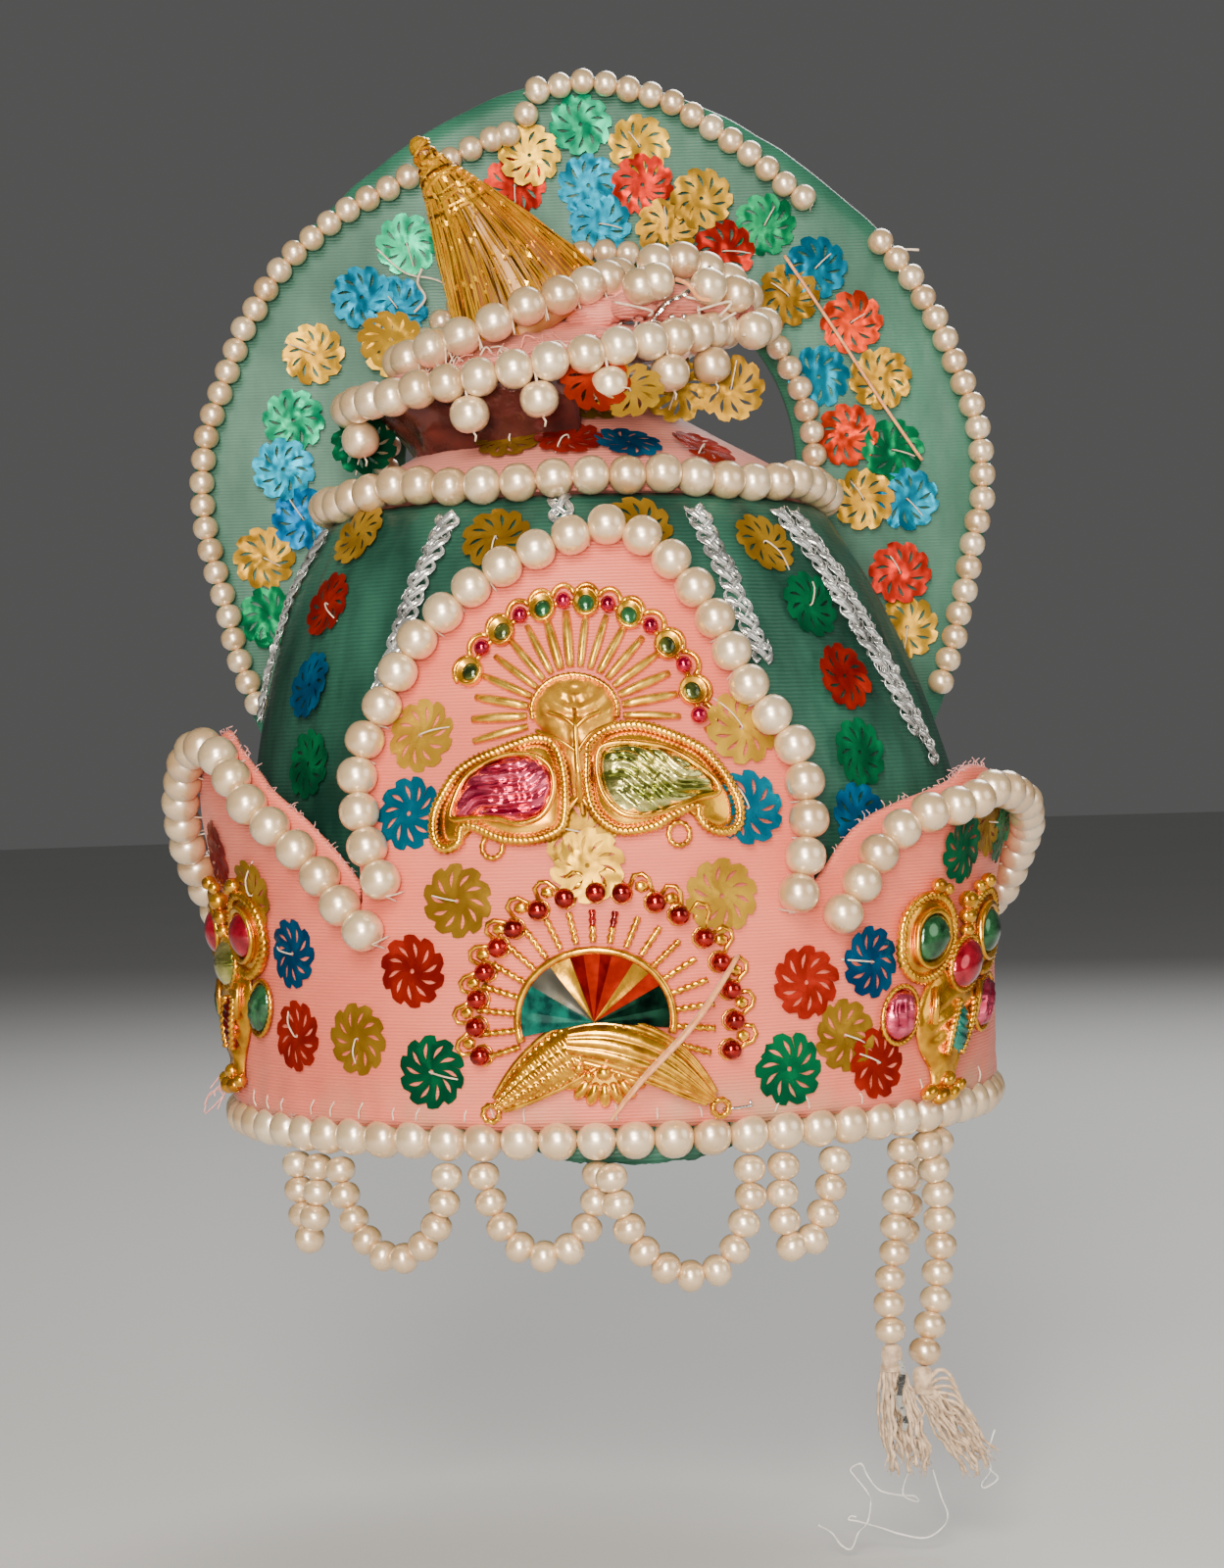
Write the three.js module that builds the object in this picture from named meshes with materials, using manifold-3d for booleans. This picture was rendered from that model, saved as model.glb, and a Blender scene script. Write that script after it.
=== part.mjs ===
// Costume crown: a petal-edged satin band round a satin dome, an upright ring-shaped halo behind,
// a tilted cap with a cone finial on top, and pearl strings along every edge.
// Millimetres, +Z up, the front faces -Y. The origin is the middle of the rim's row of pearls.
import * as THREE from 'three';
import { mergeVertices } from 'three/addons/utils/BufferGeometryUtils.js';
import Module from 'manifold-3d';

const wasm = await Module();
wasm.setup();

// ---- driving dimensions ----
const GAP = 0.35;                  // clearance between neighbouring pieces
const LARGE_PEARL = 8.0;           // pearls of the rim, petals, tier ring and cap
const SMALL_PEARL = 6.4;           // pearls of the halo, loops and strands
const LARGE_PITCH = 0.93;          // pearl spacing along its thread, over its diameter
const SMALL_PITCH = 0.82;
const RIM_PEARLS = 68;
const CAP_PEARLS = 35;

const BAND_RADIUS = 83.0;          // outer face of the satin band at the hem
const BAND_WALL = 2.0;
const HEM_Z = 4.5;                 // lower edge of band and dome, just over the rim pearls
const LEAN_Z = 45.0;               // the front petal leans in above this height
const LEAN_DEPTH = 20.5;           // how far its edge leans in, LEAN_HEIGHT above LEAN_Z
const LEAN_HEIGHT = 74.0;
const LEAN_CURVE = 1.6;            // 1 is a straight slope, more is a bow
const FLARE = 5.0;                 // the side petals flare out by this much
const FLARE_TOP = 70.0;
const UPRIGHT_Z = 34.0;            // the band's columns stand upright below this height

const RIM_RADIUS = 80.7;
const DOME_WALL = 1.6;
const TIER_RADIUS = 54.2;          // ring of pearls on the dome's shoulder
const TIER_Z = 129.6;

const HALO_Y = 30.0;               // middle plane of the halo plate
const HALO_THICK = 3.0;
const HALO_CENTRE = { x: -1.0, z: 138.0 };
const HALO_HOLE = { x: 1.0, z: 140.0, radius: 45.0 };
const HALO_HOLE_PEARLS = 48.6;     // radius of the pearl string round the hole
const HALO_MARGIN = 2.0;           // satin outside the pearl string

const CAP_PLACE = { x: -12.0, y: -9.0, z: 157.0, leftDown: 10.0, frontDown: 6.0 };
const CAP_RADIUS = 37.0;
const CAP_HEIGHT = 13.5;
const CAP_WALL = 1.8;
const CAP_BULGE = 0.6;             // how far its slope bows out from a straight cone
const CAP_RIM_Z = 0.5;             // the cap's rim pearls, in the cap's frame
const CONE_TIP_Z = 165.8;          // top of the shallow cone under the cap
const CONE_TIP_RADIUS = 2.5;
const CONE_TIP_SOLID = 8.0;        // depth of the tip with no hollow in it

const FINIAL_RADIUS = 16.5;
const FINIAL_HEIGHT = 41.0;
const FINIAL_LEAN = 24.0;          // on top of the cap's own tilt
const FINIAL_FOOT = { x: -1.6, z: 13.6 };
const FINIAL_SKIRT = 7.0;          // how far it is drawn down past its foot before it is cut
const FINIAL_FOOT_FLARE = 1.13;    // how much wider the skirt's foot is
const CAP_TOP_LIFT = 5.0;          // how far the finial's pearls stand off the cap at the right
const HANGING_DROP = 7.1;          // from the cap's rim pearls down to the single hanging ones

const BRAID_WIDTH = 4.2;
const BRAID_THICK = 1.3;
const BRAID_TOP = 123.0;

const SEQUIN_RADIUS = 7.2;
const SEQUIN_THICK = 0.7;
const SEQUIN_PETALS = 10;

const rad = THREE.MathUtils.degToRad;
const deg = THREE.MathUtils.radToDeg;
const { lerp, smoothstep } = THREE.MathUtils;

// ---- materials ----
const finish = (color, roughness, metalness) => ({ color, roughness, metalness });
const FINISH = {
  pinkSatin: finish(0xe08a8c, 0.6, 0.0),
  greenSatin: finish(0x2d5a4c, 0.45, 0.0),
  paleSatin: finish(0x6fa890, 0.5, 0.0),
  pearl: finish(0xe6cfb4, 0.25, 0.0),
  gold: finish(0xd9a02c, 0.3, 0.9),
  silver: finish(0xc9c9c6, 0.3, 0.9),
  thread: finish(0xd9c6a6, 0.9, 0.0),
};

const crown = new THREE.Group();

function addPiece(name, geometry, look, parent = crown) {
  const mesh = new THREE.Mesh(geometry, new THREE.MeshStandardMaterial(look));
  mesh.name = name;
  parent.add(mesh);
}

// ---- closed bodies from rings of points ----
// Each ring holds the same number of points. Open rows end in a fan round the end ring's middle.
function ringBody(rings, closed = false) {
  const size = rings[0].length;
  const points = rings.flat();
  const faces = [];
  const spans = closed ? rings.length : rings.length - 1;
  for (let i = 0; i < spans; i += 1) {
    const here = i * size;
    const next = ((i + 1) % rings.length) * size;
    for (let j = 0; j < size; j += 1) {
      const k = (j + 1) % size;
      faces.push([here + j, next + j, next + k], [here + j, next + k, here + k]);
    }
  }
  if (!closed) {
    for (const [start, forward] of [[0, true], [(rings.length - 1) * size, false]]) {
      const ring = points.slice(start, start + size);
      const middle = ring.reduce((sum, p) => sum.add(p), new THREE.Vector3()).divideScalar(size);
      const hub = points.push(middle) - 1;
      for (let j = 0; j < size; j += 1) {
        const k = (j + 1) % size;
        faces.push(forward ? [hub, start + j, start + k] : [hub, start + k, start + j]);
      }
    }
  }
  return bodyFrom(points, faces);
}

// Faces that point inwards all turn round together.
function bodyFrom(points, faces) {
  let volume = 0;
  for (const [a, b, c] of faces) {
    volume += points[a].dot(points[b].clone().cross(points[c]));
  }
  const index = faces.flatMap(([a, b, c]) => (volume > 0 ? [a, b, c] : [a, c, b]));
  return new THREE.BufferGeometry().setFromPoints(points).setIndex(index);
}

// A body turned round the Z axis from a closed profile of [radius, height] rows, run either way.
function turned(profile, segments) {
  const next = (i) => profile[(i + 1) % profile.length];
  const area = profile.reduce((sum, [r, z], i) => sum + r * next(i)[1] - next(i)[0] * z, 0);
  const rows = area > 0 ? profile : profile.slice().reverse();
  const geometry = new THREE.LatheGeometry(rows.map(([r, z]) => new THREE.Vector2(r, z)), segments);
  return geometry.rotateX(Math.PI / 2);
}

// ---- joining and cutting ----
function toSolid(source) {
  const geometry = source.clone();
  geometry.deleteAttribute('normal');
  geometry.deleteAttribute('uv');
  const merged = mergeVertices(geometry, 1e-4);
  const triangles = [];
  const index = merged.index.array;
  for (let i = 0; i < index.length; i += 3) {
    const [a, b, c] = [index[i], index[i + 1], index[i + 2]];
    if (a !== b && b !== c && c !== a) triangles.push(a, b, c);
  }
  const vertProperties = new Float32Array(merged.attributes.position.array);
  const triVerts = new Uint32Array(triangles);
  return new wasm.Manifold(new wasm.Mesh({ numProp: 3, vertProperties, triVerts }));
}

function toGeometry(solid) {
  const mesh = solid.getMesh();
  const geometry = new THREE.BufferGeometry();
  geometry.setAttribute('position', new THREE.Float32BufferAttribute(mesh.vertProperties, 3));
  geometry.setIndex(new THREE.Uint32BufferAttribute(mesh.triVerts, 1));
  return geometry;
}

const join = (...parts) => toGeometry(parts.map(toSolid).reduce((sum, part) => sum.add(part)));
const cut = (body, ...tools) =>
  toGeometry(tools.map(toSolid).reduce((sum, tool) => sum.subtract(tool), toSolid(body)));

// ---- the band's surface ----
// Azimuth is measured in degrees from the front, positive towards +X.
function bandRadius(azimuth, z) {
  const side = smoothstep(Math.abs(azimuth), 34, 52);
  const lean = LEAN_DEPTH * (Math.max(0, z - LEAN_Z) / LEAN_HEIGHT) ** LEAN_CURVE;
  const flare = FLARE * smoothstep(z, UPRIGHT_Z, FLARE_TOP);
  return BAND_RADIUS - lean * (1 - side) + flare * side;
}

function around(azimuth, radius, z) {
  return new THREE.Vector3(radius * Math.sin(rad(azimuth)), -radius * Math.cos(rad(azimuth)), z);
}

// A point a given height off the band's outer face, along that face's normal.
function offBand(azimuth, z, height) {
  const at = (a, h) => around(a, bandRadius(a, h), h);
  const across = at(azimuth + 0.5, z).sub(at(azimuth - 0.5, z));
  const up = at(azimuth, z + 0.5).sub(at(azimuth, z - 0.5));
  return at(azimuth, z).addScaledVector(across.cross(up).normalize(), height);
}

// Upper edge of the band, petal by petal; the rows at the notches close one petal and open the next.
const BAND_EDGE = {
  front: {
    columns: 34,
    rows: [
      { azimuth: -35.5, z: 51 }, { azimuth: -38.2, z: 71 }, { azimuth: -34.0, z: 86.5 },
      { azimuth: -28.8, z: 100.5 }, { azimuth: -18.0, z: 110.7 }, { azimuth: -5.0, z: 117.7 },
      { azimuth: 2.0, z: 119.6 }, { azimuth: 10.2, z: 116 }, { azimuth: 18.8, z: 102.5 },
      { azimuth: 22.5, z: 88 }, { azimuth: 28.6, z: 74.5 }, { azimuth: 29.0, z: 47.5 },
    ],
  },
  right: {
    columns: 18,
    rows: [
      { azimuth: 29, z: 47.5 }, { azimuth: 38.5, z: 61.5 }, { azimuth: 51.5, z: 68 },
      { azimuth: 61, z: 71.5 }, { azimuth: 81, z: 63.5 }, { azimuth: 101, z: 45 },
    ],
  },
  back: {
    columns: 12,
    rows: [{ azimuth: 101, z: 45 }, { azimuth: 180, z: 45 }, { azimuth: 259, z: 45 }],
  },
  left: {
    columns: 18,
    rows: [
      { azimuth: 259, z: 45 }, { azimuth: 278, z: 69 }, { azimuth: 296, z: 83.5 },
      { azimuth: 302, z: 82 }, { azimuth: 314, z: 67.5 }, { azimuth: 324.5, z: 51 },
    ],
  },
};

// Below UPRIGHT_Z a column keeps its foot's azimuth. Above it, it runs straight to its edge point.
function bandShell() {
  const levels = [0, 0.2, 0.4, 0.6, 0.8, 1];
  const rings = [];
  for (const { columns, rows } of Object.values(BAND_EDGE)) {
    const edge = new THREE.SplineCurve(rows.map((row) => new THREE.Vector2(row.azimuth, row.z)));
    const [first, last] = [rows[0].azimuth, rows[rows.length - 1].azimuth];
    for (let i = 0; i < columns; i += 1) {
      const tip = edge.getPointAt(i / columns);
      const foot = lerp(first, last, i / columns);
      const upper = levels.map((t) => [lerp(foot, tip.x, t), lerp(UPRIGHT_Z, tip.y, t)]);
      const line = [[foot, HEM_Z], ...upper];
      const face = (depth) => line.map(([azimuth, z]) =>
        around(azimuth, bandRadius(wrapped(azimuth), z) - depth, z));
      rings.push([...face(0), ...face(BAND_WALL).reverse()]);
    }
  }
  return ringBody(rings, true);
}

function wrapped(azimuth) {
  return azimuth > 180 ? azimuth - 360 : azimuth;
}

// ---- pearls on a thread ----
// The thread's solid swells to a pearl's width once per pearl and narrows to a waist between them.
function pearlString(curve, diameter, pitch, closed = false, sides = 5) {
  const count = Math.round(curve.getLength() / (diameter * pitch));
  const steps = count * 2;
  const frames = curve.computeFrenetFrames(steps, closed);
  const rings = [];
  const total = closed ? steps : steps + 1;
  for (let i = 0; i < total; i += 1) {
    const middle = curve.getPointAt(i / steps);
    const radius = (diameter / 2) * (i % 2 === 1 ? 1 : 0.5);
    const ring = [];
    for (let j = 0; j < sides; j += 1) {
      const turn = (j / sides) * Math.PI * 2;
      const point = middle.clone();
      point.addScaledVector(frames.normals[i], Math.cos(turn) * radius);
      point.addScaledVector(frames.binormals[i], Math.sin(turn) * radius);
      ring.push(point);
    }
    rings.push(ring);
  }
  return ringBody(rings, closed);
}

const thread = (points, closed = false) => new THREE.CatmullRomCurve3(points, closed, 'centripetal');

// A closed level row of pearls round the Z axis; the first waist is at azimuth 0.
function pearlRing(radius, z) {
  const steps = 48;
  const points = [];
  for (let i = 0; i < steps; i += 1) points.push(around((i / steps) * 360, radius, z));
  return pearlString(thread(points, true), LARGE_PEARL, LARGE_PITCH, true, 6);
}

// Pearl strings sewn on the band's outer face, just inside its upper edge.
const EDGE_STRINGS = {
  front: [
    { azimuth: -29.2, z: 47.5 }, { azimuth: -34.0, z: 60.5 }, { azimuth: -36.2, z: 72.5 },
    { azimuth: -32.5, z: 84.6 }, { azimuth: -27.2, z: 98.2 }, { azimuth: -17.3, z: 108.3 },
    { azimuth: -4.6, z: 115.2 }, { azimuth: 2.0, z: 117.0 }, { azimuth: 8.9, z: 113.6 },
    { azimuth: 16.5, z: 101.4 }, { azimuth: 20.5, z: 86.5 }, { azimuth: 26.6, z: 73.4 },
    { azimuth: 27.0, z: 58.0 }, { azimuth: 24.0, z: 42.5 },
  ],
  right: [
    { azimuth: 29.8, z: 38.8 }, { azimuth: 37.6, z: 52.0 }, { azimuth: 44.6, z: 60.0 },
    { azimuth: 52.0, z: 62.6 }, { azimuth: 60.0, z: 65.2 }, { azimuth: 70.0, z: 63.0 },
    { azimuth: 81.0, z: 57.5 }, { azimuth: 91.0, z: 49.0 }, { azimuth: 99.0, z: 40.5 },
  ],
  back: [
    { azimuth: 106, z: 39.5 }, { azimuth: 143, z: 40 }, { azimuth: 180, z: 40 },
    { azimuth: 217, z: 40 }, { azimuth: 254, z: 39.5 },
  ],
  left: [
    { azimuth: -31.5, z: 38.6 }, { azimuth: -37.7, z: 47.0 }, { azimuth: -44.8, z: 58.0 },
    { azimuth: -51.7, z: 67.8 }, { azimuth: -58.0, z: 76.0 }, { azimuth: -64.5, z: 78.0 },
    { azimuth: -72.0, z: 74.5 }, { azimuth: -82.0, z: 63.5 }, { azimuth: -91.0, z: 52.0 },
    { azimuth: -99.0, z: 40.5 },
  ],
};

// The rows are laid out densely, so that the string keeps its distance from the face all along.
function edgeString(rows) {
  const spline = new THREE.SplineCurve(rows.map((row) => new THREE.Vector2(row.azimuth, row.z)));
  const lift = LARGE_PEARL / 2 + GAP;
  const points = spline.getSpacedPoints(rows.length * 3).map((p) => offBand(wrapped(p.x), p.y, lift));
  return pearlString(thread(points), LARGE_PEARL, LARGE_PITCH);
}

// ---- dome and cone ----
const DOME_PROFILE = [
  { radius: 80.4, z: HEM_Z }, { radius: 80.0, z: 30 }, { radius: 78.6, z: 52 }, { radius: 75.2, z: 74 },
  { radius: 70.0, z: 92 }, { radius: 63.2, z: 110 }, { radius: 55.2, z: 123.8 },
  { radius: 49.8, z: 126.8 },
];
const CONE_PROFILE = [
  { radius: 49.4, z: 127.6 }, { radius: 47.6, z: 132.6 }, { radius: 31.0, z: 142.6 },
  { radius: 14.0, z: 153.4 }, { radius: 5.0, z: 161.6 },
];

// Moves a profile outwards, square to its slope.
function grown(profile, amount) {
  return profile.map((row, i) => {
    const before = profile[Math.max(0, i - 1)];
    const after = profile[Math.min(profile.length - 1, i + 1)];
    const slope = new THREE.Vector2(after.radius - before.radius, after.z - before.z).normalize();
    return [row.radius + slope.y * amount, row.z - slope.x * amount];
  });
}

function domeShell() {
  const outer = grown(DOME_PROFILE, 0);
  const inner = grown(DOME_PROFILE, -DOME_WALL).reverse();
  inner[inner.length - 1][1] = HEM_Z;
  return turned([...outer, ...inner, outer[0]], 48);
}

function coneShell() {
  const outer = [...grown(CONE_PROFILE, 0), [CONE_TIP_RADIUS, CONE_TIP_Z], [0, CONE_TIP_Z]];
  const inner = [...grown(CONE_PROFILE.slice(0, 4), -DOME_WALL), [0, CONE_TIP_Z - CONE_TIP_SOLID]];
  return turned([...inner.reverse(), ...outer], 32);
}

// The dome and cone without their hollow, a little bigger: what the halo's foot is cut to.
function domeTool() {
  const skin = grown(DOME_PROFILE, GAP);
  return turned([[0, HEM_Z], ...skin, ...grown(CONE_PROFILE, GAP), [0, CONE_TIP_Z]], 48);
}

// Room for the tier ring of pearls.
function tierTool() {
  const geometry = new THREE.TorusGeometry(TIER_RADIUS, LARGE_PEARL / 2 + 2 * GAP, 8, 48);
  return geometry.translate(0, 0, TIER_Z);
}

// ---- halo ----
// Half outline of the pearl string: angle from the top, round HALO_CENTRE, and distance from it.
const HALO_FOOT_ANGLE = 134;
const HALO_OUTLINE = [
  { angle: 0, radius: 89.5 }, { angle: 10, radius: 87.6 }, { angle: 25, radius: 84.8 },
  { angle: 42, radius: 83.3 }, { angle: 57, radius: 85.0 }, { angle: 73, radius: 86.2 },
  { angle: 90, radius: 88.8 }, { angle: 105, radius: 88.0 }, { angle: 116, radius: 90.2 },
  { angle: 125, radius: 93.0 }, { angle: HALO_FOOT_ANGLE, radius: 95.5 },
];

// The thread was sewn on in three runs, two of which wander in from the outline.
const HALO_STRINGS = [
  { name: 'pearls_halo_left', from: -124, to: -13, inset: 7.0, wanderFrom: -52, wanderTo: -16 },
  { name: 'pearls_halo_top', from: -8, to: 41, inset: 4.2, wanderFrom: 8, wanderTo: 38 },
  { name: 'pearls_halo_right', from: 51, to: 124, inset: 0, wanderFrom: 60, wanderTo: 90 },
];

function haloRadius(angle) {
  const spline = new THREE.CatmullRomCurve3(
    HALO_OUTLINE.map((row) => new THREE.Vector3(row.angle, row.radius, 0)), false, 'centripetal');
  const turn = Math.abs(angle);
  let [low, high] = [0, 1];
  for (let i = 0; i < 24; i += 1) {
    const middle = (low + high) / 2;
    if (spline.getPoint(middle).x < turn) low = middle;
    else high = middle;
  }
  return spline.getPoint(low).y;
}

function haloPoint(angle, radius, y, centre = HALO_CENTRE) {
  const [across, up] = [radius * Math.sin(rad(angle)), radius * Math.cos(rad(angle))];
  return new THREE.Vector3(centre.x + across, y, centre.z + up);
}

function haloPlate() {
  const [front, back] = [HALO_Y - HALO_THICK / 2, HALO_Y + HALO_THICK / 2];
  const steps = 52;
  const rings = [];
  for (let i = 0; i <= steps; i += 1) {
    const angle = lerp(-HALO_FOOT_ANGLE, HALO_FOOT_ANGLE, i / steps);
    const outer = haloRadius(angle) + HALO_MARGIN;
    rings.push([
      haloPoint(angle, outer, front), haloPoint(angle, outer, back),
      haloPoint(angle, HALO_HOLE.radius, back, HALO_HOLE),
      haloPoint(angle, HALO_HOLE.radius, front, HALO_HOLE),
    ]);
  }
  return cut(ringBody(rings), domeTool(), tierTool());
}

const HALO_PEARL_Y = HALO_Y - HALO_THICK / 2 - SMALL_PEARL / 2 - GAP;

function haloString(from, to, radiusAt, centre) {
  const points = [];
  const steps = Math.max(4, Math.round(Math.abs(to - from) / 6));
  for (let i = 0; i <= steps; i += 1) {
    const angle = lerp(from, to, i / steps);
    points.push(haloPoint(angle, radiusAt(angle), HALO_PEARL_Y, centre));
  }
  return pearlString(thread(points), SMALL_PEARL, SMALL_PITCH);
}

// ---- cap and finial ----
const CAP_PROFILE = [
  { radius: CAP_RADIUS, z: 0 }, { radius: 27, z: 4.6 }, { radius: 17, z: 8.4 },
  { radius: 8, z: 11.6 }, { radius: 0.8, z: CAP_HEIGHT },
];

function capShell() {
  const outer = [...grown(CAP_PROFILE, 0), [0, CAP_HEIGHT]];
  const inner = [...grown(CAP_PROFILE.slice(0, 4), -CAP_WALL), [0, CAP_HEIGHT - CAP_WALL]];
  return turned([...inner.reverse(), ...outer], 32);
}

// The cap with no hollow, a little bigger: what the finial's foot is cut to.
function capTool() {
  const below = -20;
  const skin = grown(CAP_PROFILE, GAP);
  return turned([[0, below], [CAP_RADIUS, below], ...skin, [0, CAP_HEIGHT + GAP]], 32);
}

// The finial's own axis: its foot, and the way that it points, in the cap's frame.
const finialAxis = new THREE.Vector3(-Math.sin(rad(FINIAL_LEAN)), 0, Math.cos(rad(FINIAL_LEAN)));
const finialFoot = new THREE.Vector3(FINIAL_FOOT.x, 0, FINIAL_FOOT.z);

// Drawn down past its foot along the same slope, and cut to sit on the cap.
function finialCone() {
  const profile = [
    [0, -FINIAL_SKIRT], [FINIAL_RADIUS + FINIAL_FOOT_FLARE, -FINIAL_SKIRT], [FINIAL_RADIUS, 0],
    [1.2, FINIAL_HEIGHT - 1.5], [0, FINIAL_HEIGHT],
  ];
  const cone = turned(profile, 24);
  cone.applyQuaternion(new THREE.Quaternion().setFromUnitVectors(new THREE.Vector3(0, 0, 1), finialAxis));
  cone.translate(finialFoot.x, finialFoot.y, finialFoot.z);
  return cut(cone, capTool());
}

// Distance from the finial's slanted face, positive outside it.
function offFinial(point) {
  const from = point.clone().sub(finialFoot);
  const along = from.dot(finialAxis);
  const across = from.clone().addScaledVector(finialAxis, -along).length();
  const slant = Math.atan(FINIAL_RADIUS / FINIAL_HEIGHT);
  const widest = FINIAL_RADIUS + FINIAL_FOOT_FLARE;
  const face = Math.min(FINIAL_RADIUS * (1 - along / FINIAL_HEIGHT), widest);
  return (across - face) * Math.cos(slant);
}

// Height of a large pearl's middle that rests on the cap, at a distance from the cap's axis.
function restHeight(distance) {
  const slope = CAP_HEIGHT / CAP_RADIUS;
  const rise = (LARGE_PEARL / 2 + 2 * GAP) * Math.hypot(1, slope);
  return CAP_HEIGHT + CAP_BULGE - distance * slope + rise;
}

// The pearls round the finial's foot: on the cap at the left, lifted by CAP_TOP_LIFT at the right.
function capTopString() {
  const points = [];
  const steps = 20;
  for (let i = 0; i < steps; i += 1) {
    const turn = (i / steps) * Math.PI * 2;
    const way = new THREE.Vector3(Math.cos(turn), Math.sin(turn), 0);
    const lift = (CAP_TOP_LIFT / 2) * (1 + Math.cos(turn));
    let [low, high] = [5, 40];
    const place = (distance) => {
      const point = new THREE.Vector3(FINIAL_FOOT.x, 0, 0).addScaledVector(way, distance);
      point.z = restHeight(Math.hypot(point.x, point.y)) + lift;
      return point;
    };
    for (let k = 0; k < 24; k += 1) {
      const middle = (low + high) / 2;
      if (offFinial(place(middle)) < LARGE_PEARL / 2 + GAP) low = middle;
      else high = middle;
    }
    points.push(place(high));
  }
  return pearlString(thread(points, true), LARGE_PEARL, LARGE_PITCH, true);
}

// ---- hanging loops, strands and tassels ----
// Ends are counted in rim pearls from the front, so that each thread comes out under a pearl.
const rimPearl = (number) => ((number + 0.5) * 360) / RIM_PEARLS;
const LOOPS = [
  { name: 'pearl_loop_1', from: -10, to: -9, depth: 23.0, swing: 0 },
  { name: 'pearl_loop_2', from: -8, to: -5, depth: 23.5, swing: 0.4 },
  { name: 'pearl_loop_3', from: -4, to: -1, depth: 22.0, swing: 0.5 },
  { name: 'pearl_loop_4', from: 0, to: 3, depth: 26.0, swing: 0.9 },
  { name: 'pearl_loop_5', from: 4, to: 5, depth: 22.5, swing: 0 },
];
const HANG_Z = -LARGE_PEARL / 2 - GAP;

// A U between two places on the rim: a full curve below, its sides nearly upright.
function pearlLoop({ from, to, depth, swing }) {
  const points = [];
  const steps = 16;
  for (let i = 0; i <= steps; i += 1) {
    const turn = lerp(Math.PI, 0, i / steps);
    const across = Math.sign(Math.cos(turn)) * Math.abs(Math.cos(turn)) ** 0.75;
    const down = Math.sin(turn) ** 0.85;
    const azimuth = lerp(rimPearl(from), rimPearl(to), (across + 1) / 2) + swing * down;
    points.push(around(azimuth, RIM_RADIUS, HANG_Z - (depth + HANG_Z) * down));
  }
  return pearlString(thread(points), SMALL_PEARL, SMALL_PITCH);
}

const STRANDS = [
  { name: 'pearl_strand_1', pearl: 8, bottom: -44.5, inwards: 0, sway: -1.5, drift: 0 },
  { name: 'pearl_strand_2', pearl: 9, bottom: -50.5, inwards: 0, sway: 1.2, drift: 0 },
  { name: 'pearl_strand_3', pearl: 10, bottom: -28.0, inwards: 8, sway: 0, drift: -7 },
];

// A straight drop with a slight sway; the third strand swings in behind the other two.
function pearlStrand({ pearl, bottom, inwards, sway, drift }) {
  const points = [0, 0.15, 0.3, 0.45, 0.6, 0.8, 1].map((t) => {
    const side = sway * Math.sin(t * Math.PI) + drift * smoothstep(t, 0.3, 1);
    const azimuth = rimPearl(pearl) + side;
    const radius = RIM_RADIUS - inwards * smoothstep(t, 0, 0.45);
    return around(azimuth, radius, lerp(HANG_Z, bottom, t));
  });
  return pearlString(thread(points), SMALL_PEARL, SMALL_PITCH);
}

const TASSELS = [
  { name: 'thread_tassel_1', strand: 0, length: 26.5, spread: 6.6, leanOut: 0.06 },
  { name: 'thread_tassel_2', strand: 1, length: 22.0, spread: 7.4, leanOut: 0.42 },
];

// Tufts of frayed thread: a flaring bundle below the last pearl.
function threadTassel({ strand, length, spread, leanOut }) {
  const { pearl, bottom } = STRANDS[strand];
  const head = around(rimPearl(pearl), RIM_RADIUS, bottom - GAP);
  const rows = [
    { t: 0, radius: 2.4 }, { t: 0.2, radius: 3.0 }, { t: 0.6, radius: 0.72 * spread },
    { t: 1, radius: spread },
  ];
  const rings = rows.map((row) => {
    const ring = [];
    for (let j = 0; j < 12; j += 1) {
      const turn = (j / 12) * Math.PI * 2;
      const drop = row.t * length * (1 + (row.t === 1 ? 0.05 * Math.sin(turn * 3) : 0));
      const x = head.x + Math.cos(turn) * row.radius + leanOut * row.t * length;
      ring.push(new THREE.Vector3(x, head.y + Math.sin(turn) * row.radius * 0.6, head.z - drop));
    }
    return ring;
  });
  return ringBody(rings);
}

// ---- foil braids down the dome ----
const BRAIDS = [
  { azimuth: -78, foot: 84 }, { azimuth: -42, foot: 88 }, { azimuth: 27, foot: 91 },
  { azimuth: 62, foot: 80 }, { azimuth: 135, foot: 50 }, { azimuth: 165, foot: 50 },
  { azimuth: 195, foot: 50 }, { azimuth: 225, foot: 50 },
];

function domeRadius(z) {
  const rows = DOME_PROFILE;
  const above = Math.max(1, rows.findIndex((row) => row.z >= z));
  const [a, b] = [rows[above - 1], rows[above]];
  return lerp(a.radius, b.radius, (z - a.z) / (b.z - a.z));
}

// A flat strip straight up the dome, from its foot to just under the tier ring.
function foilBraid({ azimuth, foot }) {
  const rings = [];
  const rise = 0.45 * BRAID_THICK;
  const steps = 7;
  for (let i = 0; i <= steps; i += 1) {
    const z = lerp(foot, BRAID_TOP, i / steps);
    const radius = domeRadius(z) + 2 * GAP;
    const outer = radius + BRAID_THICK;
    const half = deg(BRAID_WIDTH / 2 / radius);
    rings.push([
      around(azimuth - half, radius, z), around(azimuth + half, radius, z),
      around(azimuth + half, outer, z + rise), around(azimuth - half, outer, z + rise),
    ]);
  }
  return ringBody(rings);
}

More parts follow.
